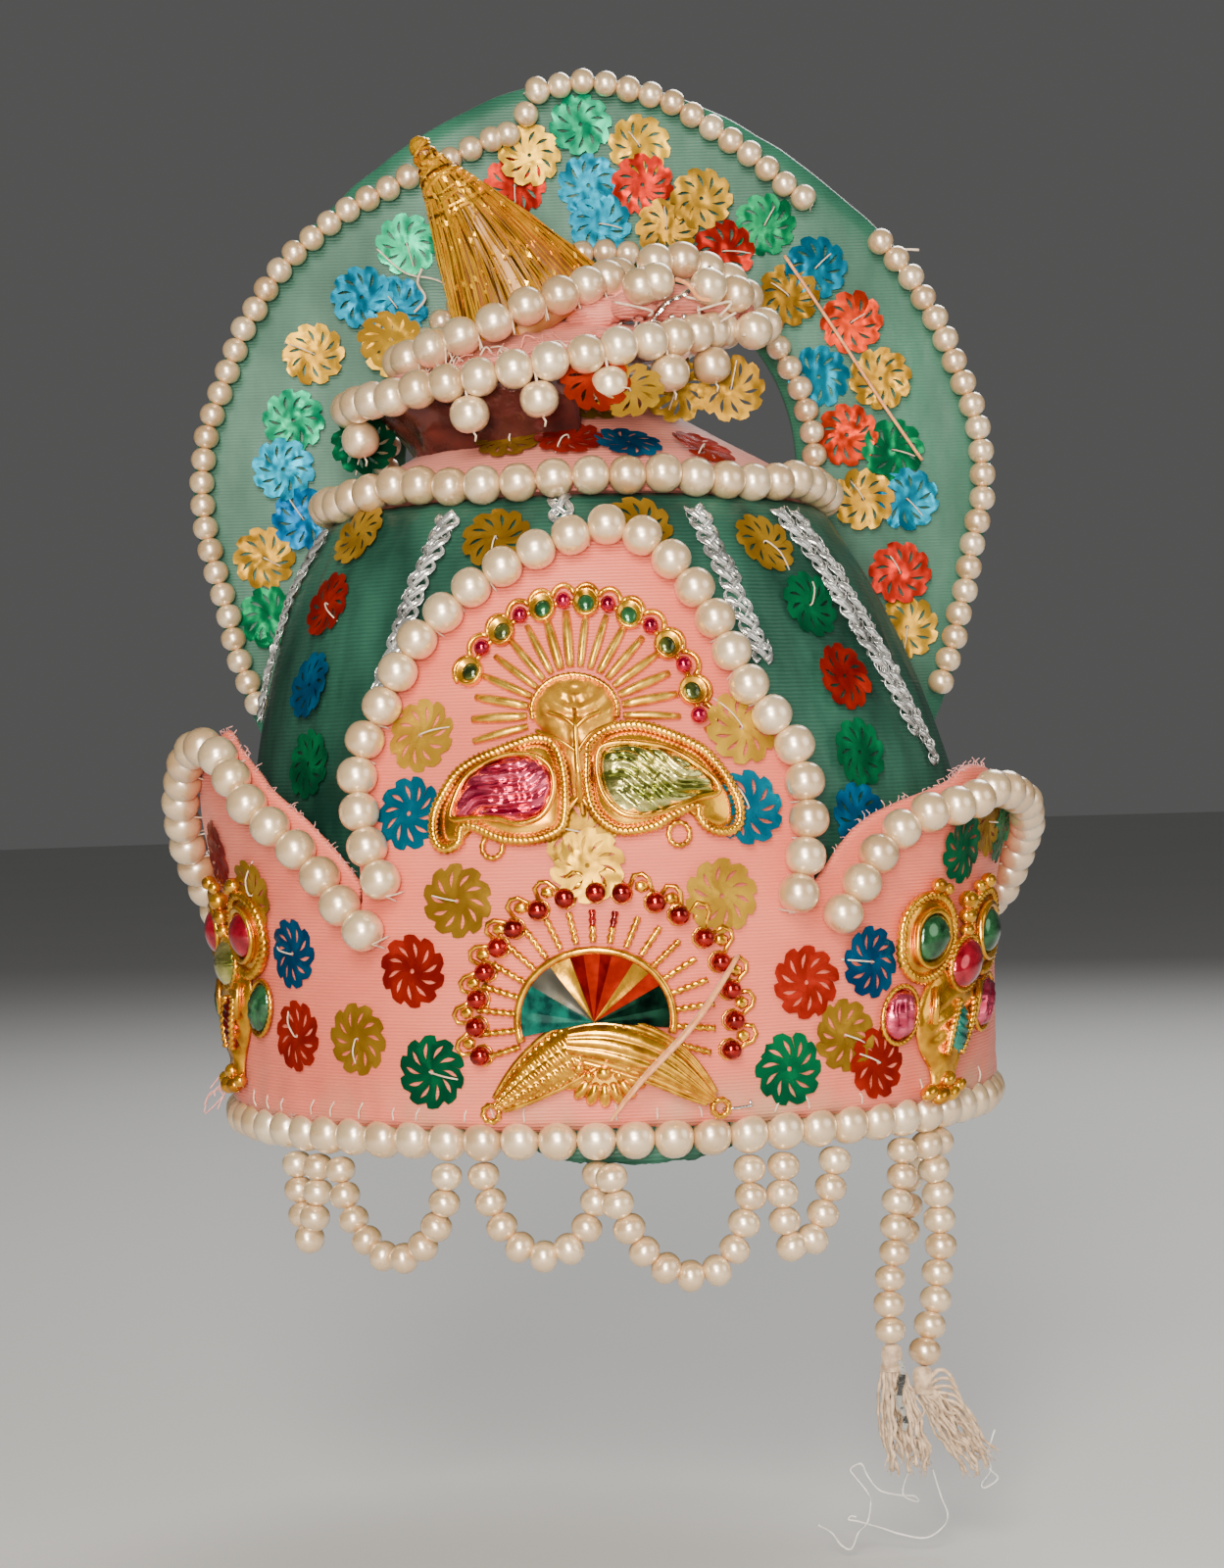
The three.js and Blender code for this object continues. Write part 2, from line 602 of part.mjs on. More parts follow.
// ---- ornaments sewn on the band ----
// A relief on the band's face: rings of points round a middle, each a share of the outline's reach,
// at its own height off the face. The shares in under close its back, at the height base.
function relief(place, reach, steps, sides, under = [1, 0.7, 0.4, 0.1], base = 2 * GAP) {
  const at = (share, turn, height) => {
    const r = reach(turn) * share;
    const radius = bandRadius(place.azimuth, place.z);
    const across = deg((r * Math.cos(turn)) / radius);
    return offBand(place.azimuth + across, place.z + r * Math.sin(turn), height);
  };
  const ring = (share, height) => {
    const points = [];
    for (let j = 0; j < sides; j += 1) points.push(at(share, (j / sides) * Math.PI * 2, height));
    return points;
  };
  const rings = steps.map(({ share, height }) => ring(share, height));
  rings.push(...under.map((share) => ring(share, base)));
  return ringBody(rings);
}

const ellipse = (a, b) => (turn) => (a * b) / Math.hypot(b * Math.cos(turn), a * Math.sin(turn));
const shifted = (place, across, up) => ({
  azimuth: place.azimuth + deg(across / bandRadius(place.azimuth, place.z)),
  z: place.z + up,
});

// Half fan above, a low foot below.
const fan = (wide, high, foot) => (turn) => ellipse(wide, Math.sin(turn) >= 0 ? high : foot)(turn);

function fanBrooch() {
  const hub = { azimuth: -4.0, z: 84.0 };
  const plate = relief(hub, fan(25.5, 22.5, 13), [
    { share: 0.12, height: 5.5 }, { share: 0.28, height: 4.2 }, { share: 0.34, height: 1.8 },
    { share: 0.84, height: 1.6 }, { share: 0.9, height: 2.6 }, { share: 1, height: 1.8 },
  ], 22);
  const paisley = (across) => relief(shifted(hub, across, -17.5), ellipse(13.5, 9), [
    { share: 0.3, height: 4.2 }, { share: 0.75, height: 3.2 }, { share: 1, height: 1.8 },
  ], 16);
  return join(plate, paisley(-13.2), paisley(13.8));
}

// A half-round fan with a faceted middle, its straight foot 17.5 below the hub.

function swagBrooch() {
  const hub = { azimuth: -1.0, z: 23.5 };
  const swags = (turn) => Math.min(-17.5 / Math.sin(turn), 27);
  const reach = (turn) => (Math.sin(turn) >= 0 ? ellipse(28.5, 28)(turn) : swags(turn));
  return relief(hub, reach, [
    { share: 0.08, height: 7.0 }, { share: 0.5, height: 3.0 }, { share: 0.56, height: 1.8 },
    { share: 0.82, height: 1.6 }, { share: 0.9, height: 2.8 }, { share: 1, height: 1.6 },
  ], 32);
}

function sideBrooch(place) {
  return relief(place, ellipse(19, 21), [
    { share: 0.15, height: 5.5 }, { share: 0.4, height: 4.6 }, { share: 0.7, height: 3.4 },
    { share: 0.85, height: 3.6 }, { share: 1, height: 1.6 },
  ], 22);
}

const SEQUINS = [
  { azimuth: -50.0, z: 36.0, color: 0x1d4c8f }, { azimuth: -49.5, z: 19.5, color: 0x9c1526 },
  { azimuth: -37.0, z: 19.5, color: 0xa88a2c }, { azimuth: -27.5, z: 33.0, color: 0xb3202c },
  { azimuth: -25.0, z: 13.5, color: 0x107a54 }, { azimuth: -20.5, z: 46.5, color: 0xa88a2c },
  { azimuth: -28.2, z: 63.5, color: 0x1f7fd0 }, { azimuth: -27.4, z: 78.6, color: 0xd8b52c },
  { azimuth: 27.5, z: 28.5, color: 0xa3182a }, { azimuth: 39.0, z: 32.5, color: 0x2f78c8 },
  { azimuth: 34.0, z: 18.2, color: 0xa88a2c }, { azimuth: 24.6, z: 12.0, color: 0x12905a },
  { azimuth: 42.4, z: 12.6, color: 0xa3182a },
];

// A thin flower-edged foil disc on the band's face.
function sequinDisc(place) {
  const scallop = (turn) => SEQUIN_RADIUS * (0.93 + 0.07 * Math.cos(turn * SEQUIN_PETALS));
  const face = [{ share: 1, height: GAP + SEQUIN_THICK }];
  return relief(place, scallop, face, SEQUIN_PETALS * 2, [1], GAP);
}

// ---- assembly ----
addPiece('band_shell', bandShell(), FINISH.pinkSatin);
addPiece('dome_shell', domeShell(), FINISH.greenSatin);
addPiece('top_cone', coneShell(), FINISH.pinkSatin);
addPiece('halo_plate', haloPlate(), FINISH.paleSatin);

addPiece('pearls_rim', pearlRing(RIM_RADIUS, 0), FINISH.pearl);
addPiece('pearls_tier', pearlRing(TIER_RADIUS, TIER_Z), FINISH.pearl);
for (const [side, rows] of Object.entries(EDGE_STRINGS)) {
  addPiece(`pearls_${side}_edge`, edgeString(rows), FINISH.pearl);
}
for (const { name, from, to, inset, wanderFrom, wanderTo } of HALO_STRINGS) {
  const wander = (angle) => inset * smoothstep(angle, wanderFrom, wanderTo);
  addPiece(name, haloString(from, to, (angle) => haloRadius(angle) - wander(angle)), FINISH.pearl);
}
addPiece('pearls_halo_hole', haloString(-98, 98, () => HALO_HOLE_PEARLS, HALO_HOLE), FINISH.pearl);

const cap = new THREE.Group();
cap.position.set(CAP_PLACE.x, CAP_PLACE.y, CAP_PLACE.z);
cap.rotation.set(rad(CAP_PLACE.frontDown), -rad(CAP_PLACE.leftDown), 0);
crown.add(cap);
addPiece('cap_shell', capShell(), FINISH.pinkSatin, cap);
addPiece('finial_cone', finialCone(), FINISH.gold, cap);
const capRimRadius = CAP_RADIUS + LARGE_PEARL / 2 + GAP;
addPiece('pearls_cap_rim', pearlRing(capRimRadius, CAP_RIM_Z), FINISH.pearl, cap);
addPiece('pearls_cap_top', capTopString(), FINISH.pearl, cap);

// Single pearls hang in the gaps of the cap's rim row, counted in pearls from its front.
const HANGING_PEARLS = [-7, -2, 0, 2, 4, 6];
HANGING_PEARLS.forEach((waist, i) => {
  const pearl = new THREE.SphereGeometry(LARGE_PEARL / 2, 8, 6);
  const place = around((waist * 360) / CAP_PEARLS, capRimRadius, CAP_RIM_Z - HANGING_DROP);
  pearl.translate(place.x, place.y, place.z);
  addPiece(`hanging_pearl_${i + 1}`, pearl, FINISH.pearl, cap);
});

for (const loop of LOOPS) addPiece(loop.name, pearlLoop(loop), FINISH.pearl);
for (const strand of STRANDS) addPiece(strand.name, pearlStrand(strand), FINISH.pearl);
for (const tassel of TASSELS) addPiece(tassel.name, threadTassel(tassel), FINISH.thread);
BRAIDS.forEach((braid, i) => addPiece(`foil_braid_${i + 1}`, foilBraid(braid), FINISH.silver));

addPiece('brooch_fan', fanBrooch(), FINISH.gold);
addPiece('brooch_swag', swagBrooch(), FINISH.gold);
addPiece('brooch_right', sideBrooch({ azimuth: 58, z: 31 }), FINISH.gold);
addPiece('brooch_left', sideBrooch({ azimuth: -68, z: 33 }), FINISH.gold);
SEQUINS.forEach((sequin, i) => {
  addPiece(`sequin_${i + 1}`, sequinDisc(sequin), finish(sequin.color, 0.25, 0.7));
});

export default crown;
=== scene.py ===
"""A costume crown: satin band, dome, halo, cap and finial, with pearls, brooches and foil sequins.

Lengths here are millimetres in the frame's own axes (+Z up, the front faces -Y) and become metres
when a piece is built. Azimuth is in degrees from the front, positive towards +X.
"""
import math
import random

import bmesh
import bpy
from mathutils import Matrix, Vector, noise


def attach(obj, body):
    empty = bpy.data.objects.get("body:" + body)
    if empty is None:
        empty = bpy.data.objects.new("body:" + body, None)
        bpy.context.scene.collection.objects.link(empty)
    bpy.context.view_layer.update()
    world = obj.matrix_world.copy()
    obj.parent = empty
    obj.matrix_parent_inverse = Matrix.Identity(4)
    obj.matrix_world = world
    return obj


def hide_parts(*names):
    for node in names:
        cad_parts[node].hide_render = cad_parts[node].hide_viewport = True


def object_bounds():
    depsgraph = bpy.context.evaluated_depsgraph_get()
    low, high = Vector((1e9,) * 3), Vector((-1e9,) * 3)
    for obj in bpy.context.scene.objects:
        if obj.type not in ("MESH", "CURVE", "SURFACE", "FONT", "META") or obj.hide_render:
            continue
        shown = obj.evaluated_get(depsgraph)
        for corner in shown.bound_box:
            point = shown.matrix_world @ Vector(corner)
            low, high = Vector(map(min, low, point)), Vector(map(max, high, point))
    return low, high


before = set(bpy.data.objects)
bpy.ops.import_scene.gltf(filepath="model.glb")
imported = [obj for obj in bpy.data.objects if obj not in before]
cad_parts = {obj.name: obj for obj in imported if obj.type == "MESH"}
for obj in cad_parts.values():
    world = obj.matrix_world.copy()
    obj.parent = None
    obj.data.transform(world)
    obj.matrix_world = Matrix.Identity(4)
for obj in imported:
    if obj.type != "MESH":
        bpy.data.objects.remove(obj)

CAD_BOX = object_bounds()
MM = 0.001
TINY = 1e-9
rng = random.Random(11)


# ---- driving dimensions, the ones that the frame's pieces were made to ----
# A pitch is the share of its diameter that a pearl takes up on its thread. A profile is rows of
# (radius, height), and a margin, room or lift is millimetres off the surface that it names.
GAP = 0.35
LARGE_PEARL, LARGE_PITCH = 8.0, 0.93
SMALL_PEARL, SMALL_PITCH = 6.4, 0.82
RIM_PEARLS, RIM_RADIUS = 68, 80.7
BAND_RADIUS, BAND_WALL, HEM_Z = 83.0, 2.0, 4.5
LEAN_Z, LEAN_DEPTH, LEAN_HEIGHT, LEAN_CURVE = 45.0, 20.5, 74.0, 1.6
FLARE, FLARE_TOP, UPRIGHT_Z = 5.0, 70.0, 34.0
DOME_WALL = 1.6
TIER_RADIUS, TIER_Z = 54.2, 129.6
HALO_Y, HALO_THICK, HALO_MARGIN = 30.0, 3.0, 2.0
HALO_CENTRE, HALO_HOLE, HALO_HOLE_RADIUS, HALO_HOLE_PEARLS = (-1.0, 138.0), (1.0, 140.0), 45.0, 48.6
HALO_FOOT_ANGLE = 134
CAP_FRAME = (Matrix.Translation((-12.0, -9.0, 157.0)) @ Matrix.Rotation(math.radians(6), 4, "X")
             @ Matrix.Rotation(math.radians(-10), 4, "Y"))
CAP_RADIUS, CAP_HEIGHT, CAP_WALL, CAP_PEARLS, CAP_RIM_Z = 37.0, 13.5, 1.8, 35, 0.5
CAP_BULGE, CAP_TOP_LIFT, HANGING_DROP = 0.6, 5.0, 7.1
CAP_SLOPE = CAP_HEIGHT / CAP_RADIUS
FINIAL_RADIUS, FINIAL_HEIGHT, FINIAL_LEAN = 16.5, 41.0, 24.0
FINIAL_FOOT = Vector((-1.6, 0, 13.6))
BRAID_TOP = 123.0
TIER_LEAN = -4.6           # how far to one side the dome's top leans

DOME_PROFILE = [(80.4, HEM_Z), (80.0, 30), (78.6, 52), (75.2, 74), (70.0, 92), (63.2, 110),
                (55.2, 123.8), (49.8, 126.8)]
CONE_PROFILE = [(49.4, 127.6), (47.6, 132.6), (31.0, 142.6), (14.0, 153.4), (5.0, 161.6),
                (2.5, 165.8), (0.3, 166.0)]
CAP_PROFILE = [(CAP_RADIUS, 0), (27, 4.6), (17, 8.4), (8, 11.6), (0.8, CAP_HEIGHT)]


# ---- numbers and curves ----
def lerp(a, b, t):
    return a + (b - a) * t


def smoothstep(x, low, high):
    t = min(1.0, max(0.0, (x - low) / (high - low)))
    return t * t * (3 - 2 * t)


def arch(t):
    """Half a wave: 0 where t is 0 or 1, and 1 halfway."""
    return math.sin(math.pi * t)


def turns(count):
    """Angles in radians that share out a full turn."""
    return [2 * math.pi * i / count for i in range(count)]


def rough(*place):
    """Smooth noise from about -1 to 1, always the same at a place."""
    return noise.noise(Vector(place))


def noise_round(azimuth, spread, height):
    """A place to take noise at that has no seam where the azimuth comes round."""
    a = math.radians(azimuth)
    return Vector((spread * math.sin(a), spread * math.cos(a), height))


def spline(points, per_span=10, closed=False):
    """Points along a smooth curve through the given ones."""
    points = [Vector(p) for p in points]
    count = len(points)
    out = []
    for i in range(count if closed else count - 1):
        if closed:
            a, b, c, d = (points[(i + k) % count] for k in (-1, 0, 1, 2))
        else:
            a, b, c, d = (points[min(max(i + k, 0), count - 1)] for k in (-1, 0, 1, 2))
        for k in range(per_span):
            t = k / per_span
            out.append(0.5 * (2 * b + (c - a) * t + (2 * a - 5 * b + 4 * c - d) * t ** 2
                              + (3 * b - a - 3 * c + d) * t ** 3))
    if not closed:
        out.append(points[-1].copy())
    return out


class Route:
    """A polyline that is walked by its length."""

    def __init__(self, points, closed=False):
        self.points = [Vector(p) for p in points] + ([Vector(points[0])] if closed else [])
        self.marks = [0.0]
        for a, b in zip(self.points, self.points[1:]):
            self.marks.append(self.marks[-1] + (b - a).length)
        self.length = self.marks[-1]

    def at(self, distance):
        """The point at a distance along the line, and the line's direction there."""
        distance = min(max(distance, 0.0), self.length)
        low, high = 0, len(self.marks) - 1
        while high - low > 1:
            middle = (low + high) // 2
            if self.marks[middle] <= distance:
                low = middle
            else:
                high = middle
        span = max(self.marks[high] - self.marks[low], TINY)
        a, b = self.points[low], self.points[high]
        return a.lerp(b, (distance - self.marks[low]) / span), (b - a).normalized()


def profile_at(profile, z):
    """Radius of a profile at a height, and its slope's direction upwards as (radius, z)."""
    rows = profile if profile[0][1] < profile[-1][1] else profile[::-1]
    for (r0, z0), (r1, z1) in zip(rows, rows[1:]):
        if z <= z1 or (r1, z1) == rows[-1]:
            t = min(1.0, max(0.0, (z - z0) / (z1 - z0)))
            return lerp(r0, r1, t), Vector((r1 - r0, z1 - z0)).normalized()


def smooth_profile(profile, steps):
    return [tuple(p) for p in spline(profile, steps)]


# ---- the frame's surfaces ----
def around(azimuth, radius, z):
    a = math.radians(azimuth)
    return Vector((radius * math.sin(a), -radius * math.cos(a), z))


def wrapped(azimuth):
    return azimuth - 360 if azimuth > 180 else azimuth


def band_radius(azimuth, z):
    side = smoothstep(abs(wrapped(azimuth)), 34, 52)
    lean = LEAN_DEPTH * (max(0.0, z - LEAN_Z) / LEAN_HEIGHT) ** LEAN_CURVE
    return BAND_RADIUS - lean * (1 - side) + FLARE * smoothstep(z, UPRIGHT_Z, FLARE_TOP) * side


def band_normal(azimuth, z):
    at = lambda a, h: around(a, band_radius(a, h), h)
    across = at(azimuth + 0.5, z) - at(azimuth - 0.5, z)
    up = at(azimuth, z + 0.5) - at(azimuth, z - 0.5)
    return across.cross(up).normalized()


def off_band(azimuth, z, height):
    return around(azimuth, band_radius(azimuth, z), z) + band_normal(azimuth, z) * height


def band_spot(azimuth, z):
    """Puts (across, up, height off the face) round a place on the band into the frame."""
    radius = band_radius(azimuth, z)
    return lambda u, v, h: off_band(azimuth + math.degrees(u / radius), z + v, h)


def tangent_spot(point, across, up):
    normal = across.cross(up)
    return lambda u, v, h: point + across * u + up * v + normal * h


def lean(z):
    return TIER_LEAN * smoothstep(z, 58, TIER_Z)


def leaned(point):
    """The dome and what stands on it lean a little to one side towards the top."""
    return point + Vector((lean(point.z), 0, 0))


def round_spot(profile):
    def spot(azimuth, z):
        radius, slope = profile_at(profile, z)
        out = around(azimuth, 1, 0)
        across = around(azimuth + 90, 1, 0)
        up = out * slope.x + Vector((0, 0, slope.y))
        return tangent_spot(leaned(around(azimuth, radius, z)), across, up)
    return spot


def front_spot(profile):
    """Spots on the leaning dome's front, by the azimuth that they have round the band's own axis."""
    spot = round_spot(profile)

    def place(azimuth, z):
        radius, _ = profile_at(profile, z)
        across = math.sin(math.radians(azimuth)) - lean(z) / radius
        return spot(math.degrees(math.asin(max(-0.98, min(0.98, across)))), z)
    return place


dome_spot = round_spot(DOME_PROFILE)


def halo_spot(x, z):
    """A spot on the halo's front."""
    return tangent_spot(Vector((x, HALO_Y - HALO_THICK / 2, z)), Vector((1, 0, 0)), Vector((0, 0, 1)))


def halo_back_spot(x, z):
    return tangent_spot(Vector((x, HALO_Y + HALO_THICK / 2, z)), Vector((-1, 0, 0)), Vector((0, 0, 1)))


# ---- meshes ----
ROPE_STEP = 0.35           # how far apart the sections of a twisted wire are


class Part:
    """Points in millimetres, with a tone for each point and a material number for each face. A tone
    is a list with one for each point, or one number for them all."""

    def __init__(self):
        self.points, self.faces, self.tones, self.numbers = [], [], [], []

    def add(self, points, faces, tone=0.5, material=0):
        base = len(self.points)
        self.points.extend(points)
        self.faces.extend(tuple(base + i for i in face) for face in faces)
        self.tones.extend(tone if isinstance(tone, list) else [tone] * len(points))
        self.numbers.extend([material] * len(faces))

    def build(self, name, materials, slot, replaces=(), smooth=True, thickness=0.0, merge=False,
              offset=0.0):
        """Makes the piece, rides it on the crown's one body and hides the frame's nodes that it stands for.
        """
        mesh = bpy.data.meshes.new(name)
        mesh.from_pydata([p * MM for p in self.points], [], self.faces)
        tone = mesh.attributes.new("tone", "FLOAT", "POINT")
        tone.data.foreach_set("value", self.tones)
        mesh.polygons.foreach_set("material_index", self.numbers)
        mesh.polygons.foreach_set("use_smooth", [smooth] * len(self.faces))
        for material in materials:
            mesh.materials.append(material)
        piece = bpy.data.objects.new(name, mesh)
        bpy.context.scene.collection.objects.link(piece)
        if merge:
            weld(mesh)
        if thickness:
            shell = piece.modifiers.new("thickness", "SOLIDIFY")
            shell.thickness = thickness * MM
            shell.offset = offset
        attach(piece, "root")
        if replaces:
            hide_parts(*replaces)
        return piece


def weld(mesh, distance=0.01):
    """Joins points that are less than a distance apart."""
    bm = bmesh.new()
    bm.from_mesh(mesh)
    bmesh.ops.remove_doubles(bm, verts=bm.verts, dist=distance * MM)
    bm.to_mesh(mesh)
    bm.free()


def grid_faces(rows, columns, wrap_rows=False, wrap_columns=False):
    """Faces between rows of points, each row with the same number of columns."""
    faces = []
    for i in range(rows if wrap_rows else rows - 1):
        for j in range(columns if wrap_columns else columns - 1):
            a, b = i * columns + j, i * columns + (j + 1) % columns
            c, d = ((i + 1) % rows) * columns + (j + 1) % columns, ((i + 1) % rows) * columns + j
            faces.append((a, b, c, d))
    return faces


def close_ends(points, faces, sides, first, last, inside_out=False):
    """Closes a grid of rings with a fan of faces to one more point at each of its ends."""
    base = len(points)
    end = base - sides
    points.extend([first, last])
    for j in range(sides):
        a, b = (j + 1) % sides, j
        if inside_out:
            a, b = b, a
        faces.append((base, a, b))
        faces.append((base + 1, end + b, end + a))


def tube(part, points, radius, sides=6, closed=False, flat=1.0, twist=0.0, lobes=0, lobe=0.0,
         tone=0.5, material=0, up=None):
    """A tube along points. radius may be a function of the share of the way along. flat squeezes
    its section, lobes ridges run round it, turning by twist turns over its length, and up gives
    the side that its section is squeezed towards at each point."""
    points = [Vector(p) for p in points]
    count = len(points)
    tangents = []
    for i in range(count):
        if closed:
            step = points[(i + 1) % count] - points[i - 1]
        else:
            step = points[min(i + 1, count - 1)] - points[max(i - 1, 0)]
        tangents.append(step.normalized() if step.length > TINY else Vector((0, 0, 1)))
    side = tangents[0].orthogonal()
    rings = []
    for i, (point, tangent) in enumerate(zip(points, tangents)):
        if up:
            side = up(i)
        side = side - tangent * side.dot(tangent)
        if side.length < TINY * 1000:
            side = tangent.orthogonal()
        side.normalize()
        other = tangent.cross(side)
        share = i / (count if closed else count - 1)
        size = radius(share) if callable(radius) else radius
        for turn in turns(sides):
            grow = size * (1 + lobe * math.cos(lobes * turn - 2 * math.pi * twist * share))
            rings.append(point + side * (math.cos(turn) * grow * flat) + other * (math.sin(turn) * grow))
    faces = grid_faces(count, sides, wrap_rows=closed, wrap_columns=True)
    if not closed:
        close_ends(rings, faces, sides, points[0], points[-1])
    part.add(rings, faces, tone, material)


def rope(part, points, radius, pitch, material=0, closed=False):
    """A two-ply twisted wire, with one turn for each pitch of its length."""
    route = Route(points, closed)
    steps = max(4, int(route.length / ROPE_STEP))
    dense = [route.at(route.length * i / steps)[0] for i in range(steps + (0 if closed else 1))]
    tube(part, dense, radius, 8, closed, lobes=2, lobe=0.24, twist=route.length / pitch,
         material=material)


def revolve(part, rows, place, sides=16, tone=0.5, material=0):
    """Rings of (radius, height) rows round a place's own axis, closed at both ends."""
    points = [place(r * math.cos(turn), r * math.sin(turn), h) for r, h in rows for turn in turns(sides)]
    faces = grid_faces(len(rows), sides, wrap_columns=True)
    close_ends(points, faces, sides, place(0, 0, rows[0][1]), place(0, 0, rows[-1][1]))
    part.add(points, faces, tone, material)


def bead(radius, segments=10):
    """Profile of a round bead standing on height 0."""
    return [(radius * math.sin(math.pi * i / segments), radius * (1 - math.cos(math.pi * i / segments)))
            for i in range(1, segments)]


# ---- materials ----
MIX_INPUTS, MIX_OUTPUT = (0, 6, 7), 2      # the sockets of a Mix node for its share and colours


class Look:
    """A node material in the making: short calls for the nodes that these looks share."""

    def __init__(self, name, **sockets):
        self.material = bpy.data.materials.new(name)
        self.material.use_nodes = True
        self.nodes = self.material.node_tree.nodes
        self.links = self.material.node_tree.links
        self.shader = self.nodes["Principled BSDF"]
        for socket, value in sockets.items():
            self.set(socket.replace("_", " "), value)
        self.coordinates = self.nodes.new("ShaderNodeTexCoord").outputs["Object"]

    def feed(self, socket, value):
        """Gives a socket a number, a colour or another node's output."""
        if isinstance(value, tuple):
            socket.default_value = (*value, 1)
        elif isinstance(value, (int, float)):
            socket.default_value = value
        else:
            self.links.new(value, socket)

    def set(self, socket, value):
        self.feed(self.shader.inputs[socket], value)

    def node(self, kind, **sockets):
        """A node of a kind, with what its sockets are fed."""
        node = self.nodes.new("ShaderNode" + kind)
        for socket, value in sockets.items():
            self.feed(node.inputs[socket.replace("_", " ")], value)
        return node

    def noise(self, scale, detail, stretch=(1, 1, 1)):
        place = self.node("Mapping", Vector=self.coordinates)
        place.inputs["Scale"].default_value = stretch
        cloud = self.node("TexNoise", Scale=scale, Detail=detail, Vector=place.outputs["Vector"])
        return cloud.outputs["Fac"]

    def ribs(self, spacing):
        """Fine ribs that follow each other upwards at a spacing in metres."""
        wave = self.node("TexWave", Scale=2 * math.pi / (20 * spacing), Distortion=0.9, Detail=2,
                         Detail_Scale=1.5, Vector=self.coordinates)
        wave.bands_direction = "Z"
        return wave.outputs["Fac"]

    def tone(self):
        """The tone that a mesh gives to each of its points, from 0 to 1."""
        node = self.node("Attribute")
        node.attribute_name = "tone"
        return node.outputs["Fac"]

    def height(self):
        return self.node("SeparateXYZ", Vector=self.coordinates).outputs["Z"]

    def remap(self, value, low, high, out_low=0.0, out_high=1.0):
        """A value between low and high, moved to between out_low and out_high."""
        node = self.node("MapRange", Value=value, From_Min=low, From_Max=high, To_Min=out_low,
                         To_Max=out_high)
        return node.outputs["Result"]

    def product(self, a, b):
        node = self.node("Math")
        node.operation = "MULTIPLY"
        self.feed(node.inputs[0], a)
        self.feed(node.inputs[1], b)
        return node.outputs[0]

    def ramp(self, value, *stops):
        """A colour by a value, from rows of (value, colour)."""
        node = self.node("ValToRGB", Fac=value)
        elements = node.color_ramp.elements
        while len(elements) < len(stops):
            elements.new(0.5)
        for element, (position, color) in zip(elements, stops):
            element.position = position
            element.color = (*color, 1)
        return node.outputs["Color"]

    def mix(self, share, a, b):
        """From colour a to colour b by a share."""
        node = self.node("Mix")
        node.data_type = "RGBA"
        for socket, value in zip(MIX_INPUTS, (share, a, b)):
            self.feed(node.inputs[socket], value)
        return node.outputs[MIX_OUTPUT]

    def bump(self, height, strength, distance):
        """Relief from a height, added to the relief that the look has."""
        node = self.node("Bump", Strength=strength, Distance=distance, Height=height)
        for link in self.shader.inputs["Normal"].links:
            self.feed(node.inputs["Normal"], link.from_socket)
        self.set("Normal", node.outputs["Normal"])


def pearl_look():
    look = Look("pearl_lustre", Metallic=0.35, Coat_Weight=1.0, Coat_Roughness=0.3, Coat_IOR=2.8,
                Subsurface_Weight=0.08, Subsurface_Scale=0.0015, Specular_IOR_Level=1.0)
    cloud = look.noise(160, 3)
    tint = look.ramp(look.tone(), (0.0, (0.64, 0.40, 0.17)), (0.5, (0.78, 0.54, 0.27)),
                     (1.0, (0.87, 0.67, 0.40)))
    look.set("Base Color", look.mix(look.remap(cloud, 0.3, 0.75, 0.0, 0.35), tint, (0.74, 0.46, 0.26)))
    look.bump(look.noise(420, 2), 0.06, 0.0004)
    look.set("Roughness", look.remap(look.noise(300, 2), 0.3, 0.7, 0.25, 0.33))
    return look.material


def satin_look(name, light, deep, spacing=0.00066, rib=0.6, soiled=None, patchy=0.6,
               roughness=(0.42, 0.6), sheen=0.25, stretch=(1, 1, 3), folds=0.25):
    """Ribbed satin, patchy between two colours, and soiled towards its hem if a colour is given. The patchy
    colour is uneven tone that on the green satins also paints sheen and shade, and the darker rib troughs
    are painted shade.
    """
    look = Look(name, Sheen_Weight=sheen, Sheen_Roughness=0.4, Specular_IOR_Level=0.25)
    # uneven tone and painted sheen: the patchy colour between light and deep is uneven tone, and on the
    # green satins it paints sheen and shade; it also varies the roughness
    tone_and_sheen_patches = look.noise(26, 4, stretch)
    color = look.mix(look.remap(tone_and_sheen_patches, 0.35, 0.7, 0.0, patchy), light, deep)
    ribs = look.ribs(spacing)
    # painted shade: the rib troughs are darkened towards the deep colour, following the rib relief
    color = look.mix(look.remap(ribs, 0.0, 1.0, 0.30, 0.0), color, tuple(c * 0.55 for c in deep))
    if soiled:
        grime = look.product(look.remap(look.height(), 0.013, 0.004),
                             look.remap(look.noise(70, 4), 0.42, 0.68, 0.0, 0.8))
        color = look.mix(grime, color, soiled)
    look.set("Base Color", color)
    look.set("Roughness", look.remap(tone_and_sheen_patches, 0.3, 0.7, *roughness))
    look.bump(look.noise(55, 3, stretch), folds, 0.0012)
    look.bump(ribs, rib, 0.00016)
    return look.material


def metal_look(name, bright, deep, roughness=0.2, scale=220, bump=0.2, distance=0.0004,
               stretch=(1, 1, 1), metallic=1.0):
    """Metal or foil with a cloudy colour and fine dents."""
    look = Look(name, Metallic=metallic, Coat_Weight=0.04, Coat_Roughness=0.1)
    cloud = look.noise(scale, 4, stretch)
    look.set("Base Color", look.mix(look.remap(cloud, 0.35, 0.65), deep, bright))
    wear = look.noise(scale * 0.6, 2)
    look.set("Roughness", look.remap(wear, 0.3, 0.7, roughness * 0.8, roughness * 1.5))
    look.bump(cloud, bump, distance)
    return look.material


